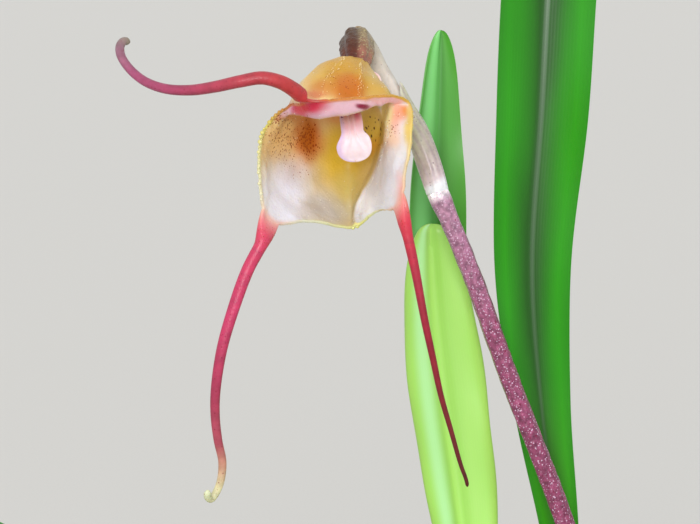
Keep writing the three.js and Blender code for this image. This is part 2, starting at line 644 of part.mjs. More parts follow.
let medium = mediumFill().subtract(rhizomeAndStems(SEAT)).subtract(flowerStalk(SEAT));
for (const shoot of SHOOTS) medium = medium.subtract(sheathHole(shoot));
add("growing_medium", largestBody(medium), BARK_AND_MOSS);

add("rhizome_and_stems", rhizomeAndStems(), STEM_GREEN);
for (const shoot of SHOOTS) {
  add(`leaf_${shoot.name}`, leaf(shoot), LEAF_GREEN);
  add(`sheath_${shoot.name}`, sheath(shoot), PAPERY_SHEATH);
}

add("flower_stalk", flowerStalk(), STALK_PURPLE);
add("stalk_bract_lower", stalkBract(0.13, 0.21), PAPERY_SHEATH);
add("stalk_bract_upper", stalkBract(0.4, 0.47), PAPERY_SHEATH);
add("floral_bract", floralBract(), PALE_BRACT);
add("pedicel", pedicel(), PALE_BRACT);
add("ovary", ovary(), OVARY_BROWN);

add("sepal_cup", sepalCup(), SEPAL_CREAM);
for (const [side, tail] of Object.entries(TAILS)) add(`tail_${side}`, tailBody(tail), TAIL_CRIMSON);
add("column", column(), COLUMN_BLUSH);
add("petal_left", petal(-1), COLUMN_BLUSH);
add("petal_right", petal(1), COLUMN_BLUSH);
add("lip", lip(), LIP_PINK);

export default plant;
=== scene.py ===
"""Dresses a potted cup-flowered orchid, Dracula mantissa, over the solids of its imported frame.

Sizes are in millimetres, as the solids' own are, and meshes are made in metres. Offsets from FLOWER are right,
back and up. The flower looks towards -Y.
"""
import logging
import math
from collections.abc import Callable, Iterator, Mapping, Sequence
from contextlib import contextmanager
from dataclasses import dataclass, field
from enum import Enum
from functools import partial
from typing import Any

import bpy
import numpy as np
from mathutils import Euler, Matrix, Vector, noise


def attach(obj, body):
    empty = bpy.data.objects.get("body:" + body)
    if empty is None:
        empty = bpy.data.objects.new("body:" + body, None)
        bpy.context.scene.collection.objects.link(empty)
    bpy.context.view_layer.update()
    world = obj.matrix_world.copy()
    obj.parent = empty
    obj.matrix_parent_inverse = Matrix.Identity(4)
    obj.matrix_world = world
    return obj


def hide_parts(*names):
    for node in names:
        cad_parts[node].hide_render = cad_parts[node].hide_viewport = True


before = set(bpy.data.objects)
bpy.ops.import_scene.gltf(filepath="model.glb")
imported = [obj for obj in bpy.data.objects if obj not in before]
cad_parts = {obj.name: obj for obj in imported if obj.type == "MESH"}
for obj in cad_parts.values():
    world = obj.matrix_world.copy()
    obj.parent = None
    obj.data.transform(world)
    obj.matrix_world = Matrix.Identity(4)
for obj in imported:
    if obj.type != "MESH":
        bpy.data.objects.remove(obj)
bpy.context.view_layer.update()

MM = 0.001
MERGE = 1e-6  # metres: corners closer than this are one
FLOWER = np.array([-23.2, -9.5, 221.5])
UP = (0.0, 0.0, 1.0)
TOWARDS_VIEWER = (0.0, -1.0, 0.0)
log = logging.getLogger("orchid")

Array = np.ndarray
Points = Sequence[Sequence[float]]
Triple = tuple[float, float, float]
Surface = Callable[[Array, Array], Array]  # from shares across and along to places or to a trait
Piece = bpy.types.Object
Material = bpy.types.Material
Tree = bpy.types.NodeTree
Socket = bpy.types.NodeSocket


class Slot(Enum):
    """The record's material slots."""

    CLAY = "clay"
    MEDIUM = "bark_and_moss"
    STEM = "stem_green"
    LEAF = "leaf_green"
    SHEATH = "papery_sheath"
    STALK = "stalk_purple"
    BRACT = "pale_bract"
    OVARY = "ovary_brown"
    SEPAL = "sepal_cream"
    TAIL = "tail_crimson"
    LIP = "lip_pink"
    COLUMN = "column_blush"


class Wall(Enum):
    """The two faces of the sepal cup."""

    OUTSIDE = -1
    INSIDE = 1


# Numbers and curves


def ease(value: Array | float, low: float = 0.0, high: float = 1.0) -> Array:
    """Rises smoothly from 0 at low to 1 at high."""
    t = np.clip((np.asarray(value, float) - low) / (high - low), 0.0, 1.0)
    return t * t * (3 - 2 * t)


def lerp(a: Any, b: Any, t: Any) -> Any:
    """What lies a share t of the way from a to b."""
    return a + (b - a) * t


def hump(value: Array, middle: float, width: float) -> Array:
    """A soft rise to 1 about a middle, gone by two widths away."""
    return np.exp(-(((value - middle) / width) ** 2))


def there_and_back(turn: Array) -> Array:
    """Place across a blade, -1 to 1, over its face and back beneath it, with corners crowded at its margins."""
    return np.sin(np.pi / 2 * np.where(turn < 0.5, 4 * turn - 1, 3 - 4 * turn))


def blunted(left: Array, run: float, least: float = 0.0004) -> Array:
    """Share of a radius that is left where a piece rounds off over a run before its end."""
    return np.sqrt(np.clip(left / run, least, 1))


def unit(vectors: Array) -> Array:
    """The same vectors, one long."""
    return vectors / np.maximum(np.linalg.norm(vectors, axis=-1, keepdims=True), 1e-9)


def wobble(points: Array, size: float, seed: float = 0.0) -> Array:
    """Soft noise at points, about -1 to 1, its lumps a size wide. Another seed gives another pattern."""
    shift = Vector((seed, 1.7 * seed, -seed))
    return np.array([noise.noise(Vector(p) / size + shift) for p in points])


class Spline:
    """A centripetal Catmull-Rom curve, or several side by side, through listed points."""

    DIVISIONS = 200

    def __init__(self, points: Any, closed: bool = False) -> None:
        """Lays the curve.

        Args:
            points: Its points, first axis along the curve, last axis x, y and z.
            closed: Whether it joins up with its own start.
        """
        held = np.asarray(points, float)
        if closed:
            self.knots = np.concatenate([held[-1:], held, held[:2]])
        else:
            before = 2 * held[:1] - held[1:2]
            after = 2 * held[-1:] - held[-2:-1]
            self.knots = np.concatenate([before, held, after])
        self.spans = len(self.knots) - 3
        self.evenly = np.linspace(0, 1, self.DIVISIONS + 1)
        if held.ndim == 2:
            steps = np.linalg.norm(np.diff(self.at(self.evenly), axis=0), axis=1)
            self.travelled = np.concatenate([[0.0], np.cumsum(steps)])
            self.length = float(self.travelled[-1])

    def at(self, shares: Array) -> Array:
        """Points of the curve, every knot the same share apart.

        Args:
            shares: Shares of the way, 0 to 1.

        Returns:
            One point for each share, and for each curve where there are several.
        """
        place = np.clip(np.asarray(shares, float), 0, 1) * self.spans
        index = np.minimum(place.astype(int), self.spans - 1)
        t = (place - index).reshape(-1, *[1] * (self.knots.ndim - 1))
        p0, p1, p2, p3 = (self.knots[index + k] for k in range(4))
        d0, d1, d2 = (
            np.maximum(np.sqrt(np.linalg.norm(b - a, axis=-1, keepdims=True)), 1e-4)
            for a, b in ((p0, p1), (p1, p2), (p2, p3))
        )
        leave = ((p1 - p0) / d0 - (p2 - p0) / (d0 + d1) + (p2 - p1) / d1) * d1
        meet = ((p2 - p1) / d1 - (p3 - p1) / (d1 + d2) + (p3 - p2) / d2) * d1
        square = -3 * p1 + 3 * p2 - 2 * leave - meet
        cube = 2 * p1 - 2 * p2 + leave + meet
        return p1 + t * (leave + t * (square + t * cube))

    def even(self, shares: Array) -> Array:
        """The even-knot share for each share of the curve's length."""
        return np.interp(shares, self.travelled / self.length, self.evenly)

    def along(self, shares: Array) -> Array:
        """Points at shares of the curve's length."""
        return self.at(self.even(shares))

    def heading(self, shares: Array) -> Array:
        """Directions of the curve at shares of its length."""
        here = self.even(shares)
        return unit(self.at(here + 1e-4) - self.at(here - 1e-4))


def from_flower(offsets: Points) -> Spline:
    """A curve through offsets from the flower."""
    return Spline(np.asarray(offsets, float) + FLOWER)


@dataclass(frozen=True)
class Sweep:
    """A path with a face, beside which the points of a stem, tail or blade are placed."""

    path: Spline
    face: Triple = TOWARDS_VIEWER

    def frame(self, shares: Array) -> tuple[Array, Array, Array]:
        """The path's own directions, straight on past its ends.

        Args:
            shares: Shares of its length.

        Returns:
            Places, sideways directions and facing directions.
        """
        inside = np.clip(shares, 0, 1)
        along = self.path.heading(inside)
        at = self.path.along(inside) + (shares - inside)[:, None] * self.path.length * along
        side = unit(np.cross(along, self.face))
        return at, side, np.cross(side, along)

    def beside(self, shares: Array, sideways: Array, facing: Array) -> Array:
        """Points beside the path at shares of its length, so far to the side and so far towards its face."""
        at, side, out = self.frame(shares)
        return at + sideways[:, None] * side + facing[:, None] * out

    def around(self, shares: Array, turns: Array, radius: Array | float, flat: float = 1.0) -> Array:
        """Points round the path, at turns of a circle and a radius, which flat narrows towards the face."""
        angle = 2 * np.pi * turns
        return self.beside(shares, radius * np.cos(angle), flat * radius * np.sin(angle))


# Meshes


def only(piece: Piece) -> None:
    """Leaves one object selected and active."""
    bpy.ops.object.select_all(action="DESELECT")
    piece.select_set(True)
    bpy.context.view_layer.objects.active = piece


@contextmanager
def editing(piece: Piece) -> Iterator[None]:
    """Opens a piece's mesh in edit mode, with nothing in it selected.

    Args:
        piece: The piece.
    """
    only(piece)
    bpy.ops.object.mode_set(mode="EDIT")
    bpy.ops.mesh.select_all(action="DESELECT")
    yield
    bpy.ops.object.mode_set(mode="OBJECT")


def named(piece: Piece, name: str) -> Piece:
    """Gives a piece and its mesh one name."""
    piece.name = piece.data.name = name
    return piece


def apply_modifier(piece: Piece, kind: str, **settings: Any) -> None:
    """Adds a modifier and applies it at once.

    Args:
        piece: The object that it shapes.
        kind: Blender's name of the modifier.
        **settings: Its properties.
    """
    only(piece)
    modifier = piece.modifiers.new(kind.title(), kind)
    for key, value in settings.items():
        setattr(modifier, key, value)
    bpy.ops.object.modifier_apply(modifier=modifier.name)


def shade_smooth(piece: Piece, degrees: float = 180.0) -> None:
    """Shades a piece smooth, except over edges sharper than an angle."""
    only(piece)
    bpy.ops.object.shade_smooth_by_angle(angle=math.radians(degrees))


def corners(piece: Piece) -> Array:
    """The corners of a piece's mesh, one to a row."""
    flat = np.empty(3 * len(piece.data.vertices))
    piece.data.vertices.foreach_get("co", flat)
    return flat.reshape(-1, 3)


def move_corners(piece: Piece, places: Array) -> None:
    """Moves the corners of a piece's mesh to new places."""
    piece.data.vertices.foreach_set("co", np.asarray(places, float).ravel())
    piece.data.update()


def keep_trait(piece: Piece, name: str, values: Array) -> None:
    """Keeps a number or a colour at each corner, for the finish to read.

    Args:
        piece: The piece.
        name: The trait's name.
        values: A number for each corner, or a row of three for a colour.
    """
    values = np.asarray(values, np.float32)
    if values.ndim == 1:
        piece.data.attributes.new(name, "FLOAT", "POINT").data.foreach_set("value", values)
        return
    colours = np.ones((len(values), 4), np.float32)
    colours[:, :3] = values
    piece.data.attributes.new(name, "FLOAT_COLOR", "POINT").data.foreach_set("color", colours.ravel())


def primitive(kind: str, name: str, **settings: Any) -> Piece:
    """Adds one of Blender's primitives, with nothing else selected.

    Args:
        kind: Which, such as cube.
        name: Name of the piece.
        **settings: Its size, its place and how it is divided.

    Returns:
        The piece, with its place in its mesh.
    """
    bpy.ops.object.select_all(action="DESELECT")
    getattr(bpy.ops.mesh, f"primitive_{kind}_add")(**settings)
    bpy.ops.object.transform_apply()
    return named(bpy.context.active_object, name)


def linked(name: str, data: bpy.types.ID) -> Piece:
    """A new object in the scene, for a mesh, a lamp or a camera."""
    thing = bpy.data.objects.new(name, data)
    bpy.context.scene.collection.objects.link(thing)
    return thing


def laid_grid(
    name: str, columns: int, rows: int, surface: Surface, traits: Mapping[str, Surface] | None = None
) -> Piece:
    """A primitive grid whose corners are laid on a surface, its meeting edges merged and its holes closed.

    Args:
        name: Name of the piece.
        columns: Faces across the grid.
        rows: Faces along it.
        surface: Gives places in millimetres for shares across and along.
        traits: What else is kept at each corner, by name, for shares across and along.

    Returns:
        The piece, with a UV map of the same shares.
    """
    piece = primitive("grid", name, x_subdivisions=columns, y_subdivisions=rows, size=1)
    across, along = (np.clip(corners(piece)[:, :2] + 0.5, 0, 1)).T
    move_corners(piece, surface(across, along) * MM)
    for trait, values in (traits or {}).items():
        keep_trait(piece, trait, values(across, along))
    tidy_shell(piece)
    return piece


def steady(value: float) -> Surface:
    """A trait that is the same all over a piece."""
    return lambda across, along: np.full(len(along), value)


def tidy_shell(piece: Piece) -> None:
    """Merges doubled corners, closes holes, turns the faces outwards and shades them smooth.

    Args:
        piece: The piece.
    """
    with editing(piece):
        bpy.ops.mesh.select_all(action="SELECT")
        bpy.ops.mesh.remove_doubles(threshold=MERGE)
        bpy.ops.mesh.fill_holes(sides=0)
        bpy.ops.mesh.select_all(action="SELECT")
        bpy.ops.mesh.normals_make_consistent(inside=False)
    shade_smooth(piece, 70.0)


def joined(name: str, pieces: Sequence[Piece]) -> Piece:
    """Joins objects into one piece.

    Args:
        name: The piece's name.
        pieces: The objects.

    Returns:
        The piece.
    """
    only(pieces[0])
    for piece in pieces:
        piece.select_set(True)
    bpy.ops.object.join()
    return named(bpy.context.active_object, name)


def copies(model: Piece, places: Sequence[Matrix]) -> list[Piece]:
    """Copies of a modelled piece, each with a mesh of its own laid at its place.

    Args:
        model: The piece that is repeated.
        places: Where each copy goes, in metres.

    Returns:
        The copies.
    """
    made = []
    for place in places:
        mesh = model.data.copy()
        mesh.transform(place)
        made.append(linked(model.name, mesh))
    return made


def lying_on(point: Array, normal: Array, size: float, spin: float = 0.0) -> Matrix:
    """Matrix that seats a small piece on a point, standing along a normal, scaled to a size and turned by spin."""
    stand = Vector(normal).to_track_quat("Z", "Y").to_matrix().to_4x4()
    return Matrix.Translation(Vector(point) * MM) @ stand @ Matrix.Rotation(spin, 4, "Z") @ Matrix.Scale(size, 4)


def settle(piece: Piece, finish: Material, slot: Slot, *nodes: str) -> None:
    """Dresses a finished piece, ties it to the plant and hides the solids that it stands for.

    Args:
        piece: The piece.
        finish: Its material.
        slot: The record's slot of that material.
        *nodes: The CAD nodes that it replaces.
    """
    piece.data.materials.clear()
    piece.data.materials.append(finish)
    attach(piece, "root")
    if nodes:
        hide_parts(*nodes)
    log.info("%s: %d faces in %s", piece.name, len(piece.data.polygons), slot.value)


# Finishes


def linear(colour: str) -> Array:
    """An sRGB hex colour as linear red, green and blue."""
    parts = np.array([int(colour[i : i + 2], 16) for i in (1, 3, 5)]) / 255
    return np.where(parts <= 0.04045, parts / 12.92, ((parts + 0.055) / 1.055) ** 2.4)


def rgba(colour: str) -> tuple[float, ...]:
    """An sRGB hex colour as a shader's linear colour."""
    return (*linear(colour), 1.0)


def add_node(tree: Tree, kind: str, out: str = "", **inputs: Any) -> Socket:
    """Adds one shader node with its settings and links.

    Args:
        tree: The material's node tree.
        kind: The node's type, after ShaderNode.
        out: Name of the output that is wanted. Without one it is the first that is in use.
        **inputs: Values of its properties and inputs, by name or identifier, with _ for a space. A socket is
            linked, a hex colour becomes a linear one, and stops are the places and colours of a ramp.

    Returns:
        The output.
    """
    node = tree.nodes.new("ShaderNode" + kind)
    for key, value in inputs.items():
        if key == "stops":
            ramp = node.color_ramp.elements
            while len(ramp) < len(value):
                ramp.new(1.0)
            for stop, (place, colour) in zip(ramp, value):
                stop.position, stop.color = place, rgba(colour)
            continue
        if hasattr(node, key):
            setattr(node, key, value)
            continue
        exact = [socket for socket in node.inputs if socket.identifier == key]
        socket = exact[0] if exact else node.inputs[key.replace("_", " ")]
        if isinstance(value, Socket):
            tree.links.new(value, socket)
        else:
            socket.default_value = rgba(value) if isinstance(value, str) else value
    return node.outputs[out] if out else next(socket for socket in node.outputs if socket.enabled)


BLEND = {"data_type": "RGBA"}
SHADE = {"data_type": "RGBA", "blend_type": "MULTIPLY", "Factor_Float": 1.0}


def per_mm(size: float) -> float:
    """A texture's scale for cells or lumps that are so many millimetres wide."""
    return 1 / (size * MM)


def bare_finish(name: str, **constants: Any) -> tuple[Material, Callable[..., Socket]]:
    """A new material, with constants set on its shader's own sockets.

    Args:
        name: The material's name.
        **constants: Values of the shader's inputs, by name, with _ for a space.

    Returns:
        The material, and add_node for its tree.
    """
    material = bpy.data.materials.new(name)
    material.use_nodes = True
    for key, value in constants.items():
        material.node_tree.nodes["Principled BSDF"].inputs[key.replace("_", " ")].default_value = value
    return material, partial(add_node, material.node_tree)


def wear(material: Material, colour: Socket, height: Socket, strength: float, distance: float,
         gloss: Socket | None = None) -> None:
    """Feeds a material's shader.

    Args:
        material: The material.
        colour: Its colour.
        height: Height of its relief.
        strength: Strength of the relief, below 0 for one that is pressed in.
        distance: Depth of the relief in millimetres.
        gloss: Its roughness, where that changes from place to place.
    """
    tree = material.node_tree
    shader = tree.nodes["Principled BSDF"].inputs
    relief = add_node(tree, "Bump", Strength=abs(strength), Distance=distance * MM, Height=height, invert=strength < 0)
    tree.links.new(relief, shader["Normal"])
    tree.links.new(colour, shader["Base Color"])
    if gloss:
        tree.links.new(gloss, shader["Roughness"])


@dataclass(frozen=True)
class Flesh:
    """Living plant flesh: painted corner by corner, freckled, and set with papillae that break up its gloss.

    Its wet cells have an IOR a little over water's. Light goes in and comes out nearby, so thin edges glow.
    """

    name: str
    roughness: float = 0.42
    glow: float = 0.3  # share of the light that goes in
    depth: float = 1.2  # how far it goes, in millimetres
    papilla: float = 0.32  # mm, as all sizes here. Real ones are 0.1 mm, too fine to show, so drawn coarser
    relief: float = 0.5
    mottle: float = 2.2
    mottling: float = 0.12
    freckle: float = 0.42
    freckles: str = "#7a3418"
    fleck: float = 0.85
    flecks: str = "#3b2210"

    def make(self) -> Material:
        """Builds the material, which reads the traits paint, dots and flecks.

        Returns:
            The material.
        """
        material, node = bare_finish(
            self.name, Subsurface_Weight=self.glow, Subsurface_Scale=self.depth * MM,
            Subsurface_Radius=(1.0, 0.75, 0.52), IOR=1.42)
        space = node("TexCoord", "Object")
        lumps = node("TexNoise", Vector=space, Scale=per_mm(self.mottle), Detail=5.0)
        shade = node("MapRange", Value=lumps, From_Min=0.3, From_Max=0.7,
            To_Min=1 - self.mottling, To_Max=1 + self.mottling)
        paint = node("Attribute", "Color", attribute_name="paint")
        colour = node("Mix", **SHADE, A_Color=paint, B_Color=shade)
        drawn_out = node("Mapping", Vector=space, Scale=(1.0, 1.0, 0.55))
        spots = (("dots", space, self.freckle, self.freckles), ("flecks", drawn_out, self.fleck, self.flecks))
        for trait, where, size, tint in spots:
            amount = node("Attribute", "Fac", attribute_name=trait)
            cells = node("TexVoronoi", "Distance", Vector=where, Scale=per_mm(size))
            chance = node("MapRange", Value=cells.node.outputs["Color"], To_Min=0.15, To_Max=0.75)
            spread = node("Math", operation="MULTIPLY", Value=amount, Value_001=chance)
            inside = node("Math", operation="SUBTRACT", Value=spread, Value_001=cells)
            spot = node("MapRange", Value=inside, From_Min=-0.05, From_Max=0.08)
            colour = node("Mix", **BLEND, Factor_Float=spot, A_Color=colour, B_Color=tint)
        beads = node("TexVoronoi", "Distance", Vector=space, Scale=per_mm(self.papilla))
        gloss = node("MapRange", Value=beads, To_Min=self.roughness - 0.14, To_Max=self.roughness + 0.14)
        wear(material, colour, beads, -self.relief, 0.06, gloss)
        return material


@dataclass(frozen=True)
class LeafBlade:
    """A leathery orchid leaf: the satin of plant wax, fine lines, a marked midrib with painted shade in its channel, a
    paler underside, and on some a painted highlight band.
    """

    name: str
    colour: str
    # deep: the darker green along the midrib, painted shade of its channel
    deep: str
    pale: str
    rib: str
    painted_highlight: float = 0.0  # strength of a pale bluish highlight band painted along one side
    painted_highlight_at: float = -0.42  # place of the painted highlight band across the blade, -1 to 1
    edge: str = "#7a9a1c"
    bloom: str = "#b4ecb4"  # colour of the painted highlight band
    spread: float = 0.34  # its half width, as a share of the blade's
    bright: float = 0.46  # share of the half width where the painted shade in the channel along the rib ends
    lines: int = 30  # a real blade has over a hundred, too fine to show, so fewer are drawn

    def make(self) -> Material:
        """Builds the material, which reads the traits across, along and under.

        Returns:
            The material.
        """
        material, node = bare_finish(
            self.name, Subsurface_Weight=0.14, Subsurface_Scale=0.8 * MM, Subsurface_Radius=(0.5, 1.0, 0.25),
            IOR=1.45, Coat_Weight=0.04, Coat_Roughness=0.4)
        space = node("TexCoord", "Object")
        drawn_out = node("Mapping", Vector=space, Scale=(1.0, 1.0, 0.16))
        across, along, under = (
            node("Attribute", "Fac", attribute_name=trait) for trait in ("across", "along", "under"))
        lumps = node("TexNoise", Vector=drawn_out, Scale=per_mm(6), Detail=2.0)
        to_base = node("MapRange", Value=along, From_Min=0.3, From_Max=0.0)
        off_highlight = node("Math", operation="ADD", Value=across, Value_001=-self.painted_highlight_at)
        near_rib = node("Math", operation="ABSOLUTE", Value=across)
        uneven = node("Math", operation="MULTIPLY_ADD", Value=lumps, Value_001=0.7, Value_002=-0.35)
        off_rib = node("Math", operation="ADD", Value=near_rib, Value_001=uneven)
        # Painted shade: the colour darkens towards the midrib, in its channel
        colour = node("ValToRGB", Fac=off_rib, stops=[(0.1, self.deep), (self.bright, self.colour)])
        near_highlight = node("Math", operation="ABSOLUTE", Value=off_highlight)
        on_rib = node("MapRange", Value=near_rib, From_Min=0.13, From_Max=0.0, To_Max=0.7)
        # Painted highlight: a pale bluish band along one side of the blade
        on_highlight = node("MapRange", Value=near_highlight, From_Min=self.spread, From_Max=0.02, To_Max=self.painted_highlight,
            interpolation_type="SMOOTHSTEP")
        on_edge = node("MapRange", Value=near_rib, From_Min=0.72, From_Max=1.0, To_Max=0.55)
        beneath = node("Math", operation="MULTIPLY", Value=under, Value_001=0.35)
        layers = ((to_base, self.pale), (on_rib, self.rib), (on_highlight, self.bloom), (on_edge, self.edge),
                  (beneath, self.pale))
        for share, tint in layers:
            colour = node("Mix", **BLEND, Factor_Float=share, A_Color=colour, B_Color=tint)
        sideways = node("CombineXYZ", X=across)
        lines = node("TexWave", "Fac", Vector=sideways, Scale=self.lines / 6.28, Distortion=0.6, Detail=1.0)
        grooves = node("MapRange", Value=lines, To_Min=0.985, To_Max=1.0)
        colour = node("Mix", **SHADE, A_Color=colour, B_Color=grooves)
        pores = node("TexNoise", Vector=space, Scale=per_mm(0.35), Detail=3.0)
        height = node("Math", operation="MULTIPLY_ADD", Value=pores, Value_001=0.35, Value_002=lines)
        gloss = node("MapRange", Value=lumps, To_Min=0.3, To_Max=0.5)
        wear(material, colour, height, 0.06, 0.06, gloss)
        return material


@dataclass(frozen=True)
class DryFibre:
    """Dry, papery plant tissue: matt with air in its dead cells, streaked along its fibres, stained brown."""

    name: str
    colour: str
    dark: str
    fibre: float = 0.35  # mm. Real ones are 0.05 mm, too fine to show, so drawn coarser
    stretch: float = 14.0
    stains: float = 0.5

    def make(self) -> Material:
        """Builds the material, whose fibres run up the piece.

        Returns:
            The material.
        """
        material, node = bare_finish(
            self.name, Roughness=0.8, Subsurface_Weight=0.1, Subsurface_Scale=0.6 * MM)
        space = node("TexCoord", "Object")
        upright = node("Mapping", Vector=space, Scale=(1.0, 1.0, 1 / self.stretch))
        fibres = node("TexNoise", Vector=upright, Scale=per_mm(self.fibre), Detail=4.0)
        colour = node("ValToRGB", Fac=fibres, stops=[(0.35, self.dark), (0.66, self.colour)])
        clouds = node("TexNoise", Vector=space, Scale=per_mm(2.4), Detail=6.0)
        stain = node("MapRange", Value=clouds, From_Min=0.56, From_Max=0.7, To_Max=self.stains)
        colour = node("Mix", **BLEND, Factor_Float=stain, A_Color=colour, B_Color=self.dark)
        wear(material, colour, fibres, 0.6, 0.12)
        return material


@dataclass(frozen=True)
class FiredClay:
    """Unglazed terracotta: matt and gritty, with a pale lime bloom where water has dried on it."""

    name: str = "terracotta"
    clay: str = "#b9683f"
    scorched: str = "#9c4f2f"
    bloom: str = "#d9c3ae"
    grit: float = 0.45  # mm. Real grit is 0.1 mm, too fine to show, so drawn coarser

    def make(self) -> Material:
        """Builds the material, with most of its bloom at the foot and on the collar.

        Returns:
            The material.
        """
        material, node = bare_finish(self.name, Roughness=0.86)
        space = node("TexCoord", "Object")
        clouds = node("TexNoise", Vector=space, Scale=per_mm(26), Detail=6.0)
        colour = node("ValToRGB", Fac=clouds, stops=[(0.36, self.scorched), (0.6, self.clay)])
        grit = node("TexNoise", Vector=space, Scale=per_mm(self.grit), Detail=2.0)
        speck = node("MapRange", Value=grit, From_Min=0.62, From_Max=0.72, To_Max=0.5)
        streaked = node("Mapping", Vector=space, Scale=(1.0, 1.0, 0.4))
        lime = node("TexNoise", Vector=streaked, Scale=per_mm(11), Detail=9.0, Roughness=0.68)
        height = node("SeparateXYZ", "Z", Vector=space)
        low = node("MapRange", Value=height, From_Min=2 * MM, From_Max=22 * MM, To_Min=0.1, To_Max=0.0)
        high = node("MapRange", Value=height, From_Min=56 * MM, From_Max=80 * MM, To_Min=0.0, To_Max=0.07)
        damp = node("Math", operation="ADD", Value=low, Value_001=high)
        crust = node("Math", operation="ADD", Value=lime, Value_001=damp)
        bloom = node("MapRange", Value=crust, From_Min=0.55, From_Max=0.78, To_Max=0.6)
        for share, tint in ((speck, self.scorched), (bloom, self.bloom)):
            colour = node("Mix", **BLEND, Factor_Float=share, A_Color=colour, B_Color=tint)
        wear(material, colour, grit, 0.5, 0.15)
        return material


@dataclass(frozen=True)
class Litter:
    """Bark, moss or loose litter: damp and rough, so matt, in colours that change from lump to lump."""

    name: str
    stops: tuple[tuple[float, str], ...]
    lump: float = 3.0
    grain: float = 0.5  # mm, a little coarser than real fibres and cells, so that it shows
    relief: float = 0.8
    glow: float = 0.0

    def make(self) -> Material:
        """Builds the material.

        Returns:
            The material.
        """
        material, node = bare_finish(
            self.name, Roughness=0.92, Subsurface_Weight=self.glow, Subsurface_Scale=0.8 * MM)
        space = node("TexCoord", "Object")
        lumps = node("TexNoise", Vector=space, Scale=per_mm(self.lump), Detail=7.0, Roughness=0.6)
        ground = node("ValToRGB", Fac=lumps, stops=self.stops)
        grain = node("TexNoise", Vector=space, Scale=per_mm(self.grain), Detail=3.0)
        shade = node("MapRange", Value=grain, From_Min=0.3, From_Max=0.7, To_Min=0.65, To_Max=1.15)
        colour = node("Mix", **SHADE, A_Color=ground, B_Color=shade)
        wear(material, colour, grain, self.relief, 0.3)
        return material


# Pot and what fills it


